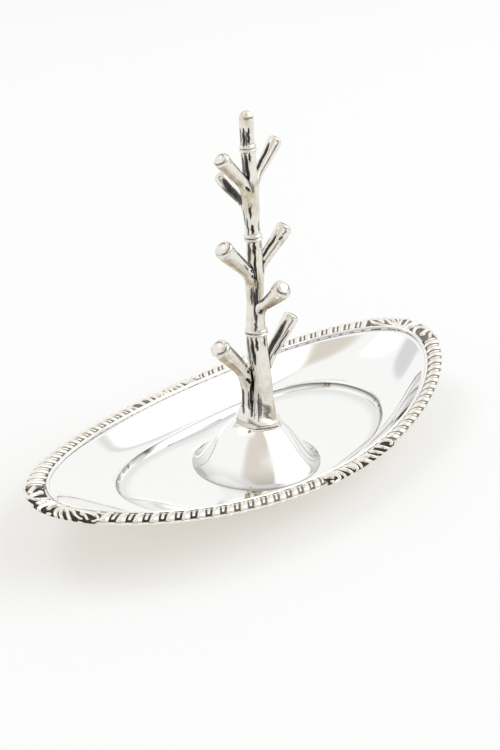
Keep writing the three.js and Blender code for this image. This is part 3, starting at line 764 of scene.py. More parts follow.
cast_border = oxidised_material("oxidised_cast_border", 0.0)
worn_border = oxidised_material("worn_cast_border", 1.0)
gadroon_start = END_SHELL_LENGTH / 2 + SOLDER_GAP / 2
gadroon_end = quarter_rim - SIDE_SHELL_LENGTH / 2 - SOLDER_GAP / 2
for node, low, high, lean in (
        ("gadroon_back_right", gadroon_start, gadroon_end, -1),
        ("gadroon_back_left", 2 * quarter_rim - gadroon_end,
         2 * quarter_rim - gadroon_start, 1),
        ("gadroon_front_left", 2 * quarter_rim + gadroon_start,
         2 * quarter_rim + gadroon_end, -1),
        ("gadroon_front_right", 4 * quarter_rim - gadroon_end,
         4 * quarter_rim - gadroon_start, 1)):
    repeats = round((high - low) / GADROON_PITCH)
    pitch = (high - low) / repeats
    strip, inset, recess = gadroon_strip(lean)
    strip[..., 0] *= pitch / GADROON_PITCH
    border = bent_row("cast_" + node, strip, inset, recess, True, repeats, low, pitch,
                      worn_border)
    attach(border, "root")
    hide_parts(node)

# Shell mounts: four castings of scrolls, acanthus fingers and a shell, soldered between the
# gadroon lengths at the ends and the middles of the sides. They are oxidised like the
# gadroons, and their ground shows black between the polished scrolls.

SCROLL_RELIEF = 0.8
SCROLL_GROUND = 0.3
SCROLL_SPACING = 0.1
SCROLL_STEPS = 36
SCROLL_SAMPLES = 26
SCROLL_FATNESS = 1.2
SCROLL_ROOT_HEIGHT = 0.8
BALL_HEIGHT = 1.12
SCROLL_SIDE_SHARE = 0.7
END_FADE = 0.25
INNER_FADE_SHARE = 0.06
OUTER_FADE = 0.15
SCROLL_CLEAR = 0.36
LIP_STEPS = 9
LIP_DEPTH = 0.62
LIP_OUTSET = 0.12
SECTION_ARC = 1.22
END_SCROLLS = [
    # places along the mount in millimetres and across it from its inner edge as a share of
    # its width, half widths at the root and the tip, and the ball that ends it
    ([(-12.9, 0.06), (-9.5, 0.07), (-6.7, 0.12), (-4.7, 0.4), (-5.3, 0.66), (-7.4, 0.74),
      (-8.3, 0.52), (-9.2, 0.38)], 0.42, 0.45, 0.78),
    ([(-6.9, 0.88), (-9.2, 0.86), (-12.7, 0.98)], 0.52, 0.2, 0.0),
    ([(-9.8, 0.7), (-11.4, 0.6), (-12.9, 0.5)], 0.45, 0.3, 0.0),
    ([(-3.6, 1.0), (-5.6, 1.08), (-8.4, 1.12)], 0.45, 0.3, 0.45),
    ([(-4.7, 0.03), (-2.6, 0.1), (-1.2, 0.21), (1.0, 0.24), (2.6, 0.18)], 0.5, 0.5, 0.0),
    ([(-2.2, 0.14), (-2.9, 0.4), (-2.9, 0.72)], 0.42, 0.3, 0.4),
    ([(-0.9, 0.28), (-1.3, 0.55), (-1.2, 0.85), (-0.5, 1.14), (0.9, 1.18), (1.9, 0.98)],
     0.5, 0.4, 0.58),
    ([(0.5, 0.3), (0.6, 0.55), (0.9, 0.72)], 0.42, 0.32, 0.42),
    ([(2.4, 0.25), (2.8, 0.6), (3.6, 1.04)], 0.42, 0.34, 0.4),
    ([(2.8, 0.28), (3.9, 0.62), (5.1, 1.12)], 0.36, 0.32, 0.36),
    ([(3.2, 0.26), (5.0, 0.52), (6.0, 0.76), (6.9, 1.22)], 0.44, 0.36, 0.42),
    ([(3.8, 0.24), (6.2, 0.42), (7.6, 0.7), (8.8, 0.86)], 0.44, 0.36, 0.55),
    ([(4.2, 0.14), (6.9, 0.2), (9.4, 0.3), (11.6, 0.48), (12.5, 0.76), (11.5, 0.94)],
     0.5, 0.38, 0.56),
    ([(8.6, 1.1), (9.6, 1.16), (10.6, 1.2)], 0.36, 0.3, 0.36),
    ([(9.6, 0.06), (11.4, 0.1), (12.9, 0.22)], 0.4, 0.3, 0.0),
    ([(8.5, 0.48), (9.5, 0.62), (10.2, 0.84)], 0.4, 0.34, 0.42),
    ([(12.9, 1.0), (12.2, 1.1), (11.6, 1.2)], 0.4, 0.34, 0.4),
]
SIDE_SCROLLS = [
    ([(-13.2, 0.04), (-11.5, 0.1), (-10.5, 0.3), (-9.6, 0.62), (-9.8, 1.0), (-11.2, 1.12),
      (-12.2, 0.92)], 0.42, 0.4, 0.52),
    ([(-8.9, 0.06), (-8.4, 0.48), (-7.9, 0.94), (-7.4, 1.2)], 0.38, 0.32, 0.38),
    ([(-6.4, 0.03), (-6.3, 0.45), (-5.7, 0.86), (-5.0, 1.2)], 0.52, 0.42, 0.48),
    ([(-4.9, 0.1), (-4.3, 0.46), (-4.1, 0.8)], 0.34, 0.28, 0.32),
    ([(-2.7, 0.12), (-2.9, 0.5), (-3.4, 1.14)], 0.42, 0.36, 0.42),
    ([(-1.0, 0.1), (-1.4, 0.5), (-1.8, 0.98)], 0.38, 0.3, 0.34),
    ([(0.2, 0.3), (0.6, 0.55), (1.4, 0.86), (2.8, 1.2)], 0.72, 0.46, 0.5),
    ([(1.4, 0.08), (1.9, 0.34), (2.3, 0.58)], 0.36, 0.3, 0.32),
    ([(3.4, 0.1), (3.3, 0.44), (3.8, 0.78), (5.8, 1.16)], 0.44, 0.36, 0.42),
    ([(5.7, 0.08), (5.5, 0.42), (6.2, 0.74), (8.2, 1.18)], 0.42, 0.34, 0.4),
    ([(8.6, 0.08), (8.7, 0.46), (9.3, 0.8), (11.2, 1.2)], 0.44, 0.36, 0.46),
    ([(11.3, 0.06), (12.4, 0.38), (12.6, 0.72), (11.7, 0.86)], 0.4, 0.32, 0.42),
    ([(-12.9, 0.36), (-12.0, 0.46), (-11.3, 0.66)], 0.36, 0.34, 0.42),
    ([(-10.4, 0.02), (-9.7, 0.2), (-9.1, 0.5)], 0.34, 0.28, 0.0),
]


def smooth_curve(places, values, wanted):
    """A curve with no kinks through values at places (each segment a cubic)."""
    places, values = np.asarray(places, float), np.asarray(values, float)
    runs = np.diff(places)
    slopes = np.diff(values, axis=0) / runs.reshape((-1,) + (1,) * (values.ndim - 1))
    tangents = np.empty_like(values)
    tangents[0], tangents[-1] = slopes[0], slopes[-1]
    tangents[1:-1] = (slopes[:-1] + slopes[1:]) / 2
    start = np.clip(np.searchsorted(places, wanted) - 1, 0, len(runs) - 1)
    run = runs[start]
    share = (wanted - places[start]) / run
    if values.ndim > 1:
        run, share = run[:, None], share[:, None]
    held = values[start] + (values[start + 1] - values[start]) * share ** 2 * (3 - 2 * share)
    leaving = tangents[start] * run * share * (1 - share) ** 2
    arriving = tangents[start + 1] * run * share ** 2 * (share - 1)
    return held + leaving + arriving


def scroll_samples(scrolls, arc):
    """Balls along every scroll: place along, place across, half width and height share."""
    balls = []
    for points, root, tip, ball in scrolls:
        points = np.array(points) * [1, arc]
        reach = np.concatenate([[0], np.cumsum(np.linalg.norm(np.diff(points, axis=0), axis=1))])
        share = np.linspace(0, 1, SCROLL_SAMPLES)
        line = smooth_curve(reach, points, share * reach[-1])
        half = SCROLL_FATNESS * (root + (tip - root) * share)
        height = SCROLL_ROOT_HEIGHT + (1 - SCROLL_ROOT_HEIGHT) * share
        balls.append(np.column_stack([line, half, height]))
        if ball:
            balls.append([[*line[-1], ball, BALL_HEIGHT]])
    return np.concatenate(balls)


def scroll_relief(along, across, balls):
    """The height share of the scrolls at each place, round in section like the balls."""
    highest = np.zeros(np.broadcast_shapes(along.shape, across.shape))
    for place, side, half, height in balls:
        near = 1 - ((along - place) ** 2 + (across - side) ** 2) / half ** 2
        highest = np.maximum(highest, height * np.sqrt(np.clip(near, 0, 1)))
    return highest


def mount_strip(scrolls, half_length, width):
    """A mount as a strip of the border: its scrolled top and outer lip, and a flat back."""
    arc = SECTION_ARC * width
    along = np.linspace(
        -half_length, half_length, round(2 * half_length / SCROLL_SPACING) + 1)[:, None]
    top_share = np.linspace(0, 1, SCROLL_STEPS + 1)
    down = np.linspace(0, LIP_DEPTH, LIP_STEPS + 1)[1:]
    across = np.concatenate([top_share, 1 + down / arc])[None, :]
    width_share, height_share, normal_in, normal_up = roll(np.clip(across, 0, 1))
    on_lip = across > 1
    level = SCROLL_GROUND * height_share * ~on_lip
    level = level - np.concatenate([np.zeros(len(top_share)), down])[None, :]
    relief = scroll_relief(along, across * arc, scroll_samples(scrolls, arc))
    fade = (np.clip((half_length - np.abs(along)) / END_FADE, 0, 1)
            * np.clip(across / INNER_FADE_SHARE, 0, 1)
            * np.clip((across[0, -1] - across) * arc / OUTER_FADE, 0, 1))
    raised = SCROLL_RELIEF * relief * np.sqrt(fade)
    top = np.empty(raised.shape + (3,))
    top[..., 0] = along
    top[..., 1] = width_share * ~on_lip
    top[..., 2] = level + raised * normal_up * ~on_lip
    inset = SCROLL_SIDE_SHARE * raised * np.where(on_lip, -1, normal_in) - (
        LIP_OUTSET * np.minimum(across, 1) ** 4)
    recess = 1 - np.clip(relief / SCROLL_CLEAR, 0, 1)
    back = np.zeros((len(along), 3, 3))
    back[..., 0] = along
    back[:, 0, 2] = -LIP_DEPTH
    back[:, 2, 1] = 1
    back_inset = np.broadcast_to([LIP_THICKNESS, LIP_THICKNESS, 0], (len(along), 3))
    return (np.concatenate([top, back], 1), np.concatenate([inset, back_inset], 1),
            np.concatenate([recess, np.zeros((len(along), 3))], 1))


end_form = (END_SHELL_LENGTH, END_BORDER_WIDTH, END_SCROLLS)
side_form = (SIDE_SHELL_LENGTH, SIDE_BORDER_WIDTH, SIDE_SCROLLS)
for node, centre, (length, width, scrolls), finish in (
        ("shell_mount_right", 0, end_form, worn_border),
        ("shell_mount_back", quarter_rim, side_form, worn_border),
        ("shell_mount_left", 2 * quarter_rim, end_form, cast_border),
        ("shell_mount_front", 3 * quarter_rim, side_form, cast_border)):
    strip, inset, recess = mount_strip(scrolls, (length - SOLDER_GAP) / 2, width)
    mount = bent_row("cast_" + node, strip, inset, recess, True, 1, centre, 0, finish)
    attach(mount, "root")
    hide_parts(node)

bpy.data.objects.remove(rim_line)

# Mound: a hollow dome spun from sheet with a flared foot, soldered to the floor of the well
# and polished like the dish.

MOUND_HEIGHT = 10.7
MOUND_TOP_DIAMETER = 10.2
MOUND_WALL = 0.9
STUD_DIAMETER = 3
FIXING_CLEARANCE = 0.3
MOUND_SIDES = 192
MOUND_STEPS = 48
MOUND_EDGE_DROP = 0.25
CEILING_CLEAR_SHARE = 0.1
# Painted shade round the mound's foot, where it meets the floor: where it starts, and how dark it
# grows.
FOOT_SHADE_START = 12.2
FOOT_SHADE_SHARE = 0.34
MOUND_CURVE_SHARES = [
    (1, 0), (0.9, 0.06), (0.78, 0.17), (0.64, 0.33), (0.48, 0.53),
    (0.32, 0.72), (0.17, 0.88), (0.06, 0.97), (0, 1),
]


def smooth_step(share):
    share = np.clip(share, 0, 1)
    return share * share * (3 - 2 * share)


def lathe(name, profile, sides, material):
    """A closed turned solid: radius and height for each point round its section."""
    turn = 2 * np.pi * np.arange(sides) / sides
    profile = np.asarray(profile, float)
    grid = np.stack([
        profile[None, :, 0] * np.cos(turn)[:, None], profile[None, :, 0] * np.sin(turn)[:, None],
        np.broadcast_to(profile[:, 1], (sides, len(profile)))], axis=-1)
    piece = mesh_piece(name, grid, band_faces(sides, len(profile), True, True), material)
    outward(piece)
    return piece


mound_foot = SHEET + SOLDER_GAP
mound_top = mound_foot + MOUND_HEIGHT
mound_top_radius = MOUND_TOP_DIAMETER / 2
stud_hole = STUD_DIAMETER / 2 + FIXING_CLEARANCE
curve = np.array(MOUND_CURVE_SHARES)
curve = smooth_curve(
    np.linspace(0, 1, len(curve)), curve, np.linspace(0, 1, MOUND_STEPS + 1))
outside = np.stack([
    mound_top_radius + (MOUND_RADIUS - mound_top_radius) * curve[:, 0],
    mound_foot + MOUND_HEIGHT * curve[:, 1]], axis=1)
run = unit(np.gradient(outside, axis=0))
inside = outside + MOUND_WALL * np.stack([-run[:, 1], run[:, 0]], axis=1)
ceiling = mound_top - MOUND_WALL
inside = inside[
    (inside[:, 1] > mound_foot) & (inside[:, 1] < ceiling - CEILING_CLEAR_SHARE * MOUND_WALL)]
mound = lathe("spun_mound", np.concatenate([
    [(MOUND_RADIUS, mound_foot - MOUND_EDGE_DROP)], outside,
    [(stud_hole, mound_top), (stud_hole, ceiling), (inside[-1, 0], ceiling)],
    inside[::-1], [(inside[0, 0], mound_foot - MOUND_EDGE_DROP)]]), MOUND_SIDES, silver_plate)
mound_radii = np.array([math.hypot(*vertex.co[:2]) / MM for vertex in mound.data.vertices])
# Painted shade: the mound darkens towards its foot.
mound_painted_shade = FOOT_SHADE_SHARE * smooth_step((mound_radii - FOOT_SHADE_START) / (
    MOUND_RADIUS - FOOT_SHADE_START))
mark(mound, tarnish=mound_painted_shade)
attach(mound, "root")
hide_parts("centre_mound")

# Tree: a solid cast trunk like a stem of bamboo with three knots, and eight twigs cast one
# by one and soldered on where they leave it. Deep bark grooves stay black with oxide, a faint
# mottled ochre tone lies over the bark with painted warm shade in ochre on the undersides and in
# the forks, and the ridges and capped ends are polished.

TREE_HEIGHT = 76.3
TREE_FOOT_DIAMETER = 11.2
TRUNK_DIAMETER = 3.74
TREE_SWAY = 1.7
SWAY_HEADING = math.radians(-50)
KNOT_PROUD = 0.44
KNOT_HALF_HEIGHT = 0.78
KNOT_RIDGE = 0.24
KNOT_RIDGE_PLACE = 0.58
KNOT_BODY_SHARE = 0.42
KNOT_LINE_DEPTH = 0.62
KNOT_LINE_HALF = 0.15
KNOT_SHADE_TURN = 0.9
KNOT_SHARES = [0.304, 0.612, 0.887]
TRUNK_SHARES = [
    # up the trunk: share of the stem's radius, share of the foot's flare, share of the sway
    (0, 1, 1, 0.25), (0.01, 1, 0.95, 0.25), (0.024, 1, 0.82, 0.35), (0.045, 1, 0.52, 0.7),
    (0.067, 1, 0.3, 0.88), (0.1, 1, 0.22, 0.86), (0.136, 1, 0.18, 0.8),
    (0.206, 1, 0.19, 0.45), (0.274, 1, 0.18, 0.2), (0.34, 1, 0.09, 0.06),
    (0.408, 1.03, 0, -0.03), (0.49, 1.02, 0, -0.07), (0.57, 1.01, 0, -0.11),
    (0.666, 0.94, 0, -0.42), (0.76, 0.89, 0, -0.59), (0.85, 0.9, 0, -0.75),
    (0.93, 0.86, 0, -0.98), (0.968, 0.9, 0, -1), (1, 0.86, 0, -1),
]
TIP_SHARE = 0.972
TIP_POWER = 2.4
TIP_END_AREA = 0.002
TWIG_REACH = 9
TWIG_RISE = 11.5
TWIG_DIAMETER = 4.4
TWIGS = [
    # name, heading, root up the trunk, shares of reach, rise, cap, set aside at the root,
    # upright stem, root girth, share of the rise below which the seam is filled, and half
    # the seam's width
    ("twig_top_right", 3, 0.729, 1.03, 1, 0.77, 0, 0.4, 0.66, 0.26, 0.25),
    ("twig_top_left", 174, 0.695, 0.97, 1.14, 0.83, 0, 0.5, 0.7, 0.34, 0.25),
    ("twig_top_back", 89, 0.666, 1, 0.73, 0.73, 0, 0.4, 0.52, 0.6, 0.25),
    ("twig_middle_right", -7, 0.457, 1.03, 1, 0.89, 0, 0.4, 0.68, 0.16, 0.25),
    ("twig_middle_left", 171, 0.438, 1, 1.02, 1, 0, 0.4, 0.66, 0.16, 0.25),
    ("twig_middle_front", -96, 0.332, 0.93, 0.89, 1, 0, 0.4, 0.48, 0.48, 0.25),
    ("twig_low_right", -5, 0.109, 1.1, 1.32, 0.89, 0, 0.4, 0.72, 0.12, 0.25),
    ("twig_low_left", 178, 0.012, 1.06, 1.77, 1.05, 0.22, 0.68, 0.7, 0.24, 0.42),
]
TWIG_FLARE_POWER = 2.4
TWIG_FLARE_END = 0.95
CAP_TILT = math.radians(48)
CAP_RUN_SHARE = 0.4
CAP_RINGS = 30
CAP_SHARES = [
    # round the capped end: out along the twig, and radius, as shares of the cap's radius
    (0.06, 1.01), (0.2, 1.045), (0.34, 1.03), (0.47, 0.965), (0.58, 0.86), (0.67, 0.73),
    (0.74, 0.58), (0.79, 0.42), (0.82, 0.25), (0.835, 0.1), (0.84, 0.004),
]
CAP_ARCS = [
    # dark arcs on a capped end: radius as a share of the cap's, half width, depth, side that
    # they face in radians, and how fast they fade away from it
    (0.9, 0.06, 0.5, math.pi, 2), (0.9, 0.06, 0.55, 0, 3), (0.5, 0.09, 0.45, 2, 2),
]
CAP_ARCS_START = 0.3
CAP_ARC_CUT = 0.05
TRUNK_RINGS = 460
TRUNK_SIDES = 110
TWIG_RINGS = 96
TWIG_SIDES = 80
FILLET = 2.0
FILLET_OPEN_SHARE = 0.15
FOOT_SKIRT_SHARE = 1.09
SKIRT_SINK = 0.06
SKIRT_MIDDLE = (0.3, 0.62)
FOOT_ROOTS_SHARE = 0.006
FOOT_ROOTS_TOP = 0.07
FOOT_ROOTS = [
    # count round the foot, turn in radians, share of the height
    (6, 1, 1), (11, 0, 0.7),
]
SEAM_DEPTH = 0.24
SEAM_START = 3.4
SEAM_EDGE = 1.6
FOOT_FILLED = 5.0
FOOT_BLENDED = (-0.4, 1.8)
BLENDED_POLISH = 0.4
BARK_RIDGES = 5
BARK_DEPTH_SHARE = 0.035
BARK_WIDEST = 1.2
GROOVE_DEPTH = 0.36
GROOVE_EDGE_SHARE = 0.5
GROOVE_WANDER = 0.07
GROOVE_WAVES = 2.3
GROOVE_WAVE_START = 7.1
GROOVE_TAPER_POWER = 0.4
CHANNEL_BLUNTNESS = 6
STREAK_PITCH = 0.52
STREAK_SHARE = 0.38
STREAK_BEND = 2
STREAK_BENDS = 9
STREAKED_FROM = 0.25
BARK_SEED = 7
TRUNK_GROOVES = [
    # lower and upper end up the trunk, the sides that they face in degrees from the viewer,
    # half width, share of the full depth
    (0.893, 0.952, -33, -28, 0.49, 1), (0.891, 0.95, -74, -64, 0.64, 0.6),
    (0.895, 0.943, -8, -4, 0.44, 0.5), (0.903, 0.953, 14, 18, 0.38, 0.9),
    (0.787, 0.88, -8, -29, 0.59, 1), (0.787, 0.88, -44, -66, 0.72, 0.56),
    (0.85, 0.878, 9, 10, 0.31, 0.85), (0.626, 0.658, 2, 0, 0.46, 1),
    (0.62, 0.68, -34, -38, 0.32, 0.66), (0.63, 0.667, 64, 60, 0.31, 0.8),
    (0.535, 0.602, -42, -38, 0.64, 0.75), (0.562, 0.602, 0, 2, 0.58, 0.9),
    (0.58, 0.603, 58, 62, 0.33, 0.85), (0.455, 0.57, 10, 2, 0.41, 0.95),
    (0.34, 0.5, 2, 10, 0.79, 0.95), (0.312, 0.35, -6, 2, 0.51, 0.7),
    (0.4, 0.46, -26, -18, 0.33, 0.7), (0.2, 0.294, -22, -33, 0.64, 1),
    (0.2, 0.294, -58, -66, 0.72, 0.56), (0.25, 0.292, -2, -4, 0.44, 0.95),
    (0.26, 0.297, 45, 47, 0.32, 0.9),
    (0.01, 0.06, 74, 84, 0.38, 0.5), (0.674, 0.745, -6, -8, 0.34, 0.85),
    (0.655, 0.7, -58, -62, 0.4, 0.6),
]
FOOT_CHANNELS = [
    # across the foot from the axis as the viewer sees it, half width, lower and upper end
    # above the foot, share of the full depth
    (-3.2, 0.34, 2.4, 9.0, 0.7), (-1.75, 0.24, 3.6, 8.4, 0.55), (-1.1, 0.42, 2.2, 10.2, 0.9),
    (-0.4, 0.22, 1.8, 5.6, 0.45), (0.6, 0.3, 1.2, 8.2, 0.6), (1.15, 0.4, 1.6, 7.6, 0.3),
]
BACK_GROOVES = 26
BACK_GROOVE_LIMITS = [
    # each groove out of the viewer's sight is drawn between these: its lower end up the trunk,
    # side it faces, length as a share of the trunk's, lean in degrees, half width, depth
    (0.02, 0.88), (100, 260), (0.04, 0.1), (-12, 12), (0.2, 0.5), (0.6, 1),
]
TWIG_BACK_SIDES = (130, 230)
TWIG_BACK_GROOVE = (0.35, 0.8, 15, 0.3, 0.9)
CAP_TURNS = (-0.6, 0.6)
TWIG_GROOVES = {
    # start and end along the twig, the sides that they face in degrees from the viewer,
    # half width, share of the full depth
    "twig_top_right": [(0.36, 0.95, -34, -30, 0.59, 1), (0.27, 0.38, -8, 2, 0.44, 0.9)],
    "twig_top_left": [(0.34, 0.46, 14, -8, 0.44, 0.95), (0.42, 0.86, 72, 76, 0.26, 0.7),
                      (0.5, 0.8, -70, -60, 0.31, 0.4)],
    "twig_top_back": [(0.3, 0.97, -6, 0, 1.22, 0.95), (0.4, 0.9, -62, -54, 0.51, 0.5)],
    "twig_middle_right": [(0.34, 0.88, -26, -20, 0.46, 1), (0.3, 0.8, -72, -64, 0.38, 0.6),
                          (0.34, 0.46, 12, 16, 0.44, 0.8), (0.82, 0.9, 20, 24, 0.38, 0.7)],
    "twig_middle_left": [(0.42, 0.85, 56, 64, 0.44, 0.7), (0.36, 0.48, 52, 30, 0.44, 0.9),
                         (0.27, 0.4, 34, 4, 0.54, 1), (0.52, 0.68, 10, 16, 0.33, 0.4)],
    "twig_middle_front": [(0.25, 0.8, -74, -64, 0.38, 0.7), (0.3, 0.5, 20, 32, 0.51, 0.95),
                          (0.55, 0.8, 60, 75, 0.51, 0.6)],
    "twig_low_right": [(0.4, 0.96, -30, -20, 0.92, 1), (0.5, 0.88, 34, 40, 0.35, 0.8),
                       (0.28, 0.4, 0, 6, 0.51, 0.9)],
    "twig_low_left": [(0.3, 0.42, 44, 3, 0.54, 1), (0.42, 0.51, 76, 34, 0.46, 1),
                      (0.51, 0.6, 88, 46, 0.36, 0.9), (0.02, 0.17, -62, -58, 0.49, 0.85),
                      (0.02, 0.1, 10, 16, 0.38, 0.6), (0.66, 0.94, 60, 68, 0.38, 0.4)],
}
TRUNK_FILM = 0.28
TWIG_FILM = 0.1
# The next two set the painted warm shade: ochre on the undersides of stems and caps and in the
# solder of the forks.
UNDERSIDE_PAINTED_SHADE = 0.9
CAP_PAINTED_SHADE = (0.5, 0.1)
BARK_SPECKLE_SIZE = 0.76923
BARK_CLOUD_SIZE = 3.0303
BARK_MOTTLE = (0.5, 0.49)
OCHRE_MOTTLE = (0.85, 0.62)
OCHRE_EDGES = (0.0, 0.75)
TARNISH_EDGES = (0.1, 0.42)
SOOT_EDGES = (0.42, 0.9)
BARK_ROUGHNESS = (0.06, 0.5)
BARK_GRAIN_DEPTH = 0.03
BARK_SILVER = "#ECE8E0"
BARK_OCHRE = "#BAA57E"
# Grey where a groove begins: tarnish, with a blue tint that is a painted reflection.
BARK_TARNISH_AND_REFLECTION = "#77787B"
BARK_SOOT = "#423E39"

tree_foot = mound_top + SOLDER_GAP
trunk_radius = TRUNK_DIAMETER / 2
sway_direction = np.array([math.cos(SWAY_HEADING), math.sin(SWAY_HEADING), 0])
towards_viewer = np.array(view_back)
bark_random = np.random.default_rng(BARK_SEED)


def bark_material():
    """Cast silver: ochre as a faint mottled tone and as painted warm shade on undersides and in
    the forks, grey and then black down a groove, the grey tinted blue as a painted reflection.
    The speckle is the casting's grain, drawn coarser than it is, to show."""
    material, tree = new_material("cast_silver_bark")
    place = add_node(tree, "ShaderNodeTexCoord").outputs["Object"]
    recess = add_node(tree, "ShaderNodeAttribute", attribute_name="recess").outputs["Fac"]
    # Ochre share: a faint even tone, and painted warm shade on undersides and in the forks.
    patina = add_node(tree, "ShaderNodeAttribute", attribute_name="patina").outputs["Fac"]
    speckle, cloud = [
        add_node(
            tree, "ShaderNodeTexNoise",
            {"Vector": place, "Scale": 1 / (size * MM), "Detail": detail})
        for size, detail in ((BARK_SPECKLE_SIZE, 3.0), (BARK_CLOUD_SIZE, 2.0))]
    mottle = add_node(tree, "ShaderNodeMath", {0: speckle, 1: cloud}, operation="ADD")
    mottle = add_node(
        tree, "ShaderNodeMath", {0: mottle, 1: BARK_MOTTLE[0], 2: -BARK_MOTTLE[1]},
        operation="MULTIPLY_ADD")
    depth = add_node(tree, "ShaderNodeMath", {0: recess, 1: mottle}, operation="ADD")
    clear = add_node(tree, "ShaderNodeMath", {0: cloud, 1: OCHRE_MOTTLE[1]}, operation="SUBTRACT")
    tint = add_node(
        tree, "ShaderNodeMath", {0: patina, 1: OCHRE_MOTTLE[0], 2: clear},
        operation="MULTIPLY_ADD")
    colour = linear(BARK_SILVER)
    for share, edges, code in (
            (tint, OCHRE_EDGES, BARK_OCHRE), (depth, TARNISH_EDGES, BARK_TARNISH_AND_REFLECTION),
            (depth, SOOT_EDGES, BARK_SOOT)):
        stained = add_node(
            tree, "ShaderNodeMapRange",
            {"Value": share, "From Min": edges[0], "From Max": edges[1]},
            interpolation_type="SMOOTHSTEP")
        colour = add_node(
            tree, "ShaderNodeMix", {0: stained, 6: colour, 7: linear(code)},
            data_type="RGBA").outputs[2]
    roughness = add_node(
        tree, "ShaderNodeMapRange",
        {"Value": depth, "From Min": -BLENDED_POLISH, "To Min": BARK_ROUGHNESS[0],
         "To Max": BARK_ROUGHNESS[1]})
    metal_surface(tree, colour, roughness, speckle, BARK_GRAIN_DEPTH)
    return material


def trunk_at(up):
    """Centres and radii of the plain trunk at shares of its height."""
    table = np.array(TRUNK_SHARES)
    stem, flare, sway = smooth_curve(table[:, 0], table[:, 1:], np.clip(up, 0, 1)).T
    centre = sway_direction * (TREE_SWAY * sway)[:, None]
    centre[:, 2] = tree_foot + TREE_HEIGHT * up
    return centre, trunk_radius * stem + (TREE_FOOT_DIAMETER / 2 - trunk_radius) * flare


def groove_depths(along, facing, radius, length, grooves):
    """How deep the bark is cut at each place, from 0 to 1, where along is a share of the
    length and facing the angle from the viewer's side. Wide grooves keep fine streaks."""
    deepest = np.zeros(np.broadcast_shapes(along.shape, facing.shape))
    for start, end, facing_start, facing_end, half, depth in grooves:
        share = (along - start) / (end - start)
        inside = np.clip(share, 0, 1)
        middle = np.radians(facing_start + (facing_end - facing_start) * inside)
        wander = GROOVE_WANDER * np.sin(
            2 * np.pi * (GROOVE_WAVES * inside + GROOVE_WAVE_START * start))
        apart = (facing - middle + np.pi) % (2 * np.pi) - np.pi
        aside = radius * apart - wander
        beyond = np.maximum(np.abs(share - 0.5) - 0.5, 0) * (end - start) * length
        taper = np.clip(4 * inside * (1 - inside), 0, 1) ** GROOVE_TAPER_POWER
        edge = half * taper - np.hypot(aside, beyond)
        bend = STREAK_BEND * np.sin(STREAK_BENDS * inside + start)
        streak = 0.5 + 0.5 * np.cos(2 * np.pi * aside / STREAK_PITCH + bend)
        streak = 1 - STREAK_SHARE * streak * np.clip(2 * (half - STREAKED_FROM), 0, 1)
        cut = depth * streak * smooth_step(edge / (GROOVE_EDGE_SHARE * half))
        deepest = np.maximum(deepest, cut)
    return deepest


def foot_channels(surface, facing):
    """How deep the upright channels of the foot are cut, on the side seen by the viewer."""
    across = surface @ sway_direction
    level = surface[..., 2] - tree_foot
    deepest = np.zeros(across.shape)
    for place, half, bottom, top, depth in FOOT_CHANNELS:
        share = np.clip((level - bottom) / (top - bottom), 0, 1)
        taper = np.sqrt(np.clip(CHANNEL_BLUNTNESS * share * (1 - share), 0, 1))
        edge = half * taper - np.abs(across - place)
        deepest = np.maximum(deepest, depth * smooth_step(edge / (GROOVE_EDGE_SHARE * half)))
    return deepest * (np.cos(facing) > 0)


def tube_frames(centres):
    """For each ring of a tube: the side nearest the viewer, and the side beside it."""
    run = unit(np.gradient(centres, axis=0))
    near = unit(towards_viewer - run * (run @ towards_viewer)[:, None])
    return near, np.cross(run, near)


def distance_to_tube(points, centres, radii):
    """The distance from each point to a tube's surface."""
    nearest = np.full(len(points), np.inf)
    for centre, radius in zip(centres, radii):
        nearest = np.minimum(nearest, np.linalg.norm(points - centre, axis=1) - radius)
    return nearest


def joint_forms(points, others):
    """Where two stems meet: how far the solder and the casting swell, and how far the dark
    seam above the solder is open."""
    swell = np.zeros(len(points))
    seam = np.zeros(len(points))
    for centres, radii, filled_to, seam_half in others:
        gap = np.abs(distance_to_tube(points, centres, radii))
        opening = smooth_step((points[:, 2] - filled_to) / SEAM_START)
        grounded = smooth_step((points[:, 2] - tree_foot - FOOT_FILLED) / FOOT_FILLED)
        filled = grounded * (1 - (1 - FILLET_OPEN_SHARE) * opening)
        swell = np.maximum(swell, filled * np.maximum(FILLET - gap, 0) ** 2 / (4 * FILLET))
        seam = np.maximum(seam, opening * smooth_step(SEAM_EDGE * (1 - gap / seam_half)))
    return swell, seam


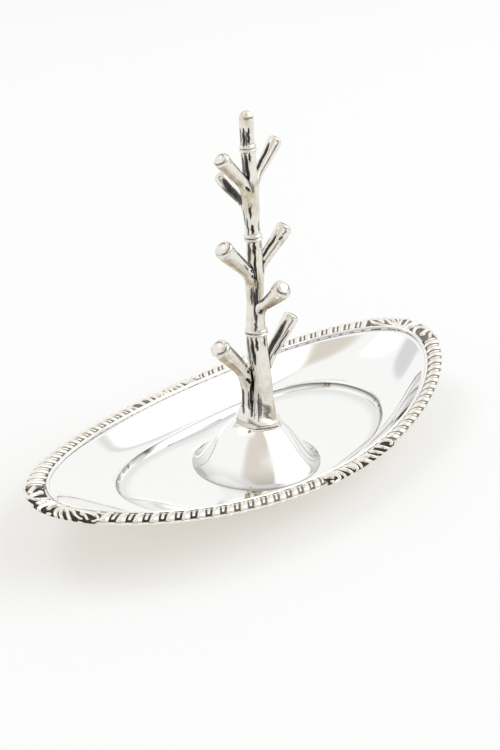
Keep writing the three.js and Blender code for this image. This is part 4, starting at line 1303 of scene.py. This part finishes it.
def stem_piece(name, centres, radii, sides, cut, proud, others, tint, node, cap, foot):
    """A bark-covered stem as a closed tube. cap gives the rings of its capped end, and foot
    makes the ring that it stands on."""
    near, beside = tube_frames(centres)
    facing = 2 * np.pi * np.arange(sides) / sides
    spoke = (near[:, None] * np.cos(facing)[:, None] + beside[:, None] * np.sin(facing)[:, None])
    surface = centres[:, None] + spoke * radii[:, None, None]
    cut = np.maximum(cut, foot_channels(surface, facing))
    swell, seam = joint_forms(surface.reshape(-1, 3), others)
    swell, seam = swell.reshape(cut.shape), seam.reshape(cut.shape)
    reach = radii[:, None] + swell + proud - GROOVE_DEPTH * cut - SEAM_DEPTH * seam
    surface = centres[:, None] + spoke * reach[..., None]
    low, high = FOOT_BLENDED
    bark_share = smooth_step((surface[..., 2] - tree_foot - low) / (high - low))
    recess = np.maximum(cut, seam) - BLENDED_POLISH * (1 - bark_share)
    # Painted warm shade: ochre grows on a stem's undersides and in the solder of its forks, over
    # a faint even ochre tone.
    patina = bark_share * np.clip(
        tint + UNDERSIDE_PAINTED_SHADE * (swell / FILLET - spoke[..., 2]), 0, 1)
    if cap is not None:
        cap_centres, cap_radii, cap_recess = cap
        rings = cap_centres[:, None] + spoke[-1] * cap_radii[:, None, None]
        surface = np.concatenate([surface, rings])
        recess = np.concatenate([recess, cap_recess])
        # Painted warm shade under the cap.
        cap_patina = np.clip(-CAP_PAINTED_SHADE[0] * spoke[-1, :, 2] - CAP_PAINTED_SHADE[1], 0, 1)
        patina = np.concatenate([patina, cap_patina * (cap_radii / cap_radii[0])[:, None]])
    if foot is not None:
        skirt = foot(surface[0], centres[0])
        surface = np.concatenate([skirt, surface])
        recess = np.concatenate([np.stack([recess[0]] * len(skirt)), recess])
        patina = np.concatenate([np.stack([patina[0]] * len(skirt)), patina])
    faces = band_faces(*surface.shape[:2], False, True)
    faces.append(tuple(range(sides)))
    faces.append(tuple(surface[..., 0].size - 1 - np.arange(sides)))
    piece = mesh_piece(name, surface, faces, bark)
    mark(piece, recess=recess, patina=patina)
    outward(piece)
    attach(piece, "root")
    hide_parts(node)
    return piece


def twig_line(
        heading, root_share, reach, rise, cap, aside, stem, root_girth, filled, seam_half):
    """Centres and radii along a twig, its capped end's direction, and its seam: the level up
    to which it is filled and half its width."""
    heading = math.radians(heading)
    outwards = np.array([math.cos(heading), math.sin(heading), 0])
    centre, radius = trunk_at(np.array([root_share]))
    root = centre[0] - sway_direction * aside * (radius[0] + TWIG_DIAMETER)
    reach, rise = reach * TWIG_REACH, rise * TWIG_RISE
    end = root + outwards * reach + [0, 0, rise]
    cap_run = outwards * math.cos(CAP_TILT) + [0, 0, math.sin(CAP_TILT)]
    shoulder = end - cap_run * CAP_RUN_SHARE * math.hypot(reach, rise)
    share = np.linspace(0, 1, TWIG_RINGS)[:, None]
    line = (root * (1 - share) ** 3
            + (root + [0, 0, stem * rise]) * 3 * share * (1 - share) ** 2
            + shoulder * 3 * share ** 2 * (1 - share) + end * share ** 3)
    flare = np.minimum(share[:, 0] / TWIG_FLARE_END, 1) ** TWIG_FLARE_POWER
    girth = root_girth + (1 - root_girth) * flare
    radii = TWIG_DIAMETER * cap / 2 * girth
    return line, radii, cap_run, (root[2] + filled * rise, seam_half)


def foot_skirt(ring, centre):
    """The solder's concave run from the foot's lowest ring out and down onto the mound."""
    rim = centre + (ring - centre) * FOOT_SKIRT_SHARE
    apart = np.hypot(rim[:, 0], rim[:, 1])
    rim[:, 2] = np.interp(apart, outside[::-1, 0], outside[::-1, 1]) - SKIRT_SINK
    middle = ring + SKIRT_MIDDLE[0] * (rim - ring)
    middle[:, 2] = ring[:, 2] + SKIRT_MIDDLE[1] * (rim[:, 2] - ring[:, 2])
    return np.stack([rim, middle])


bark = bark_material()
trunk_up = np.linspace(0, 1, TRUNK_RINGS)
trunk_line, trunk_radii = trunk_at(trunk_up)
twig_lines = [twig_line(*twig[1:]) for twig in TWIGS]

back_grooves = []
for _ in range(BACK_GROOVES):
    start, side, length, lean, half, depth = [
        bark_random.uniform(*limits) for limits in BACK_GROOVE_LIMITS]
    back_grooves.append((start, start + length, side, side + lean, half, depth))

trunk_facing = 2 * np.pi * np.arange(TRUNK_SIDES)[None, :] / TRUNK_SIDES
trunk_cut = groove_depths(
    trunk_up[:, None], trunk_facing, trunk_radii[:, None], TREE_HEIGHT,
    TRUNK_GROOVES + back_grooves)
ridge_radii = np.minimum(trunk_radii, BARK_WIDEST * trunk_radius)[:, None]
trunk_proud = BARK_DEPTH_SHARE * ridge_radii * np.cos(
    BARK_RIDGES * trunk_facing + 2 * np.pi * trunk_up[:, None])
foot_roots = sum(
    share * np.cos(count * trunk_facing + turn) for count, turn, share in FOOT_ROOTS)
root_share = FOOT_ROOTS_SHARE * trunk_radii * smooth_step(1 - trunk_up / FOOT_ROOTS_TOP)
trunk_proud = trunk_proud + root_share[:, None] * foot_roots
knot_line = np.zeros(TRUNK_RINGS)
for knot in KNOT_SHARES:
    up_from = (trunk_up - knot) * TREE_HEIGHT
    zone = np.exp(-(up_from / KNOT_HALF_HEIGHT) ** 4)
    ridges = sum(
        np.exp(-((up_from - side * KNOT_HALF_HEIGHT * KNOT_RIDGE_PLACE) / KNOT_RIDGE) ** 2)
        for side in (-1, 1))
    trunk_proud = trunk_proud * (1 - zone)[:, None] + (
        KNOT_PROUD * (KNOT_BODY_SHARE * zone + (1 - KNOT_BODY_SHARE) * ridges))[:, None]
    trunk_cut = trunk_cut * (1 - zone)[:, None]
    knot_line += KNOT_LINE_DEPTH * np.exp(-(up_from / KNOT_LINE_HALF) ** 2)
knot_shade = 0.5 + 0.5 * np.cos(trunk_facing + KNOT_SHADE_TURN)
trunk_cut = np.maximum(trunk_cut, knot_line[:, None] * knot_shade)
tip = np.clip((trunk_up - TIP_SHARE) / (1 - TIP_SHARE), 0, 1)
trunk_radii = trunk_radii * np.sqrt(np.clip(1 - tip ** TIP_POWER, TIP_END_AREA, 1))
stem_piece(
    "cast_trunk", trunk_line, trunk_radii, TRUNK_SIDES, trunk_cut,
    trunk_proud * (1 - tip)[:, None],
    [(line, radii, *seam) for line, radii, _, seam in twig_lines],
    TRUNK_FILM, "tree_trunk", None, foot_skirt)

cap_out, cap_girth = smooth_curve(
    np.linspace(0, 1, len(CAP_SHARES)), CAP_SHARES, np.linspace(0, 1, CAP_RINGS)).T
for (name, *_), (line, radii, cap_run, seam) in zip(TWIGS, twig_lines):
    along = np.linspace(0, 1, TWIG_RINGS)[:, None]
    length = np.linalg.norm(np.diff(line, axis=0), axis=1).sum()
    facing = 2 * np.pi * np.arange(TWIG_SIDES)[None, :] / TWIG_SIDES
    side = bark_random.uniform(*TWIG_BACK_SIDES)
    start, end, lean, half, depth = TWIG_BACK_GROOVE
    cut = groove_depths(
        along, facing, radii[:, None], length,
        TWIG_GROOVES[name] + [(start, end, side, side + lean, half, depth)])
    proud = BARK_DEPTH_SHARE * radii[:, None] * np.cos(BARK_RIDGES * facing) * (1 - along)
    turn = bark_random.uniform(*CAP_TURNS)
    cap_recess = np.zeros((CAP_RINGS, TWIG_SIDES))
    for girth, half, depth, arc_side, fade in CAP_ARCS:
        arc = depth * np.exp(-((cap_girth - girth) / half) ** 2) * (cap_out > CAP_ARCS_START)
        shade = 0.5 + 0.5 * np.cos(facing - arc_side - turn)
        cap_recess += arc[:, None] * shade ** fade
    cap_radius = radii[-1] * (1 - CAP_ARC_CUT * cap_recess.mean(axis=1))
    cap_centres = line[-1] + cap_run * (radii[-1] * cap_out)[:, None]
    stem_piece(
        "cast_" + name, line, radii, TWIG_SIDES, cut, proud,
        [(trunk_line[::4], trunk_radii[::4], *seam)], TWIG_FILM, name,
        (cap_centres, np.maximum(cap_radius * cap_girth, 0.01), cap_recess), None)

# Fixing: under the mound a threaded stud from the tree's foot is drawn down by a washer and
# a hexagon nut, all of plain turned steel.

STUD_TAIL = 1
STUD_SEAT_DEPTH = 6
WASHER_DIAMETER = 7
WASHER_THICKNESS = 0.6
NUT_ACROSS_FLATS = 5.5
NUT_HEIGHT = 2.4
THREAD_PITCH = 0.5
THREAD_DEPTH = 0.22
STUD_POLE = 0.01
WASHER_EDGE = 0.08
NUT_CHAMFER_SHARE = 1.02
NUT_CHAMFER_RISE = 0.55
FIXING_SIDES = 72
STEEL = "#B9B8B4"
STEEL_ROUGHNESS = 0.34
TOOL_MARK_SIZE = 0.45455
TOOL_MARK_DEPTH = 0.01


def steel_material():
    """Turned steel: a grey metal with fine marks left by the tool."""
    material, tree = new_material("plain_turned_steel")
    marks = add_node(
        tree, "ShaderNodeTexNoise",
        {"Vector": add_node(tree, "ShaderNodeTexCoord").outputs["Object"],
         "Scale": 1 / (TOOL_MARK_SIZE * MM), "Detail": 2.0})
    metal_surface(tree, linear(STEEL), STEEL_ROUGHNESS, marks, TOOL_MARK_DEPTH)
    return material


steel = steel_material()
washer_top = mound_top - MOUND_WALL - FIXING_CLEARANCE
washer_bottom = washer_top - WASHER_THICKNESS
nut_top = washer_bottom - FIXING_CLEARANCE
nut_bottom = nut_top - NUT_HEIGHT
stud_bottom = nut_bottom - STUD_TAIL
stud_top = tree_foot + STUD_SEAT_DEPTH
stud_radius = STUD_DIAMETER / 2
thread_half = THREAD_PITCH / 2
thread = []
for turn in range(int((stud_top - stud_bottom - 2 * thread_half) / THREAD_PITCH)):
    root = stud_bottom + thread_half + turn * THREAD_PITCH
    thread += [(stud_radius - THREAD_DEPTH, root), (stud_radius, root + thread_half)]
stud = lathe("threaded_stud", [
    (STUD_POLE, stud_bottom), (stud_radius - THREAD_DEPTH, stud_bottom)] + thread + [
    (stud_radius - THREAD_DEPTH, stud_top), (STUD_POLE, stud_top)], FIXING_SIDES, steel)
washer = lathe("flat_washer", [
    (stud_hole, washer_bottom), (WASHER_DIAMETER / 2 - WASHER_EDGE, washer_bottom),
    (WASHER_DIAMETER / 2, washer_bottom + WASHER_EDGE),
    (WASHER_DIAMETER / 2, washer_top - WASHER_EDGE),
    (WASHER_DIAMETER / 2 - WASHER_EDGE, washer_top), (stud_hole, washer_top)],
    FIXING_SIDES, steel)
turn = 2 * np.pi * np.arange(FIXING_SIDES) / FIXING_SIDES
flat_reach = NUT_ACROSS_FLATS / 2 / np.cos((turn + np.pi / 6) % (np.pi / 3) - np.pi / 6)
nut_chamfer = NUT_ACROSS_FLATS / 2 * NUT_CHAMFER_SHARE
nut_grid = np.array([
    [(reach * math.cos(a), reach * math.sin(a), level) for reach, level in (
        (stud_hole, nut_bottom), (nut_chamfer, nut_bottom),
        (outer, nut_bottom + (outer - nut_chamfer) * NUT_CHAMFER_RISE),
        (outer, nut_top - (outer - nut_chamfer) * NUT_CHAMFER_RISE), (nut_chamfer, nut_top),
        (stud_hole, nut_top))]
    for a, outer in zip(turn, np.maximum(flat_reach, nut_chamfer))])
nut = mesh_piece("hexagon_nut", nut_grid, band_faces(FIXING_SIDES, 6, True, True), steel)
outward(nut)
for piece, node in (
        (stud, "fixing_stud"), (washer, "fixing_washer"), (nut, "fixing_nut")):
    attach(piece, "root")
    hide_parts(node)
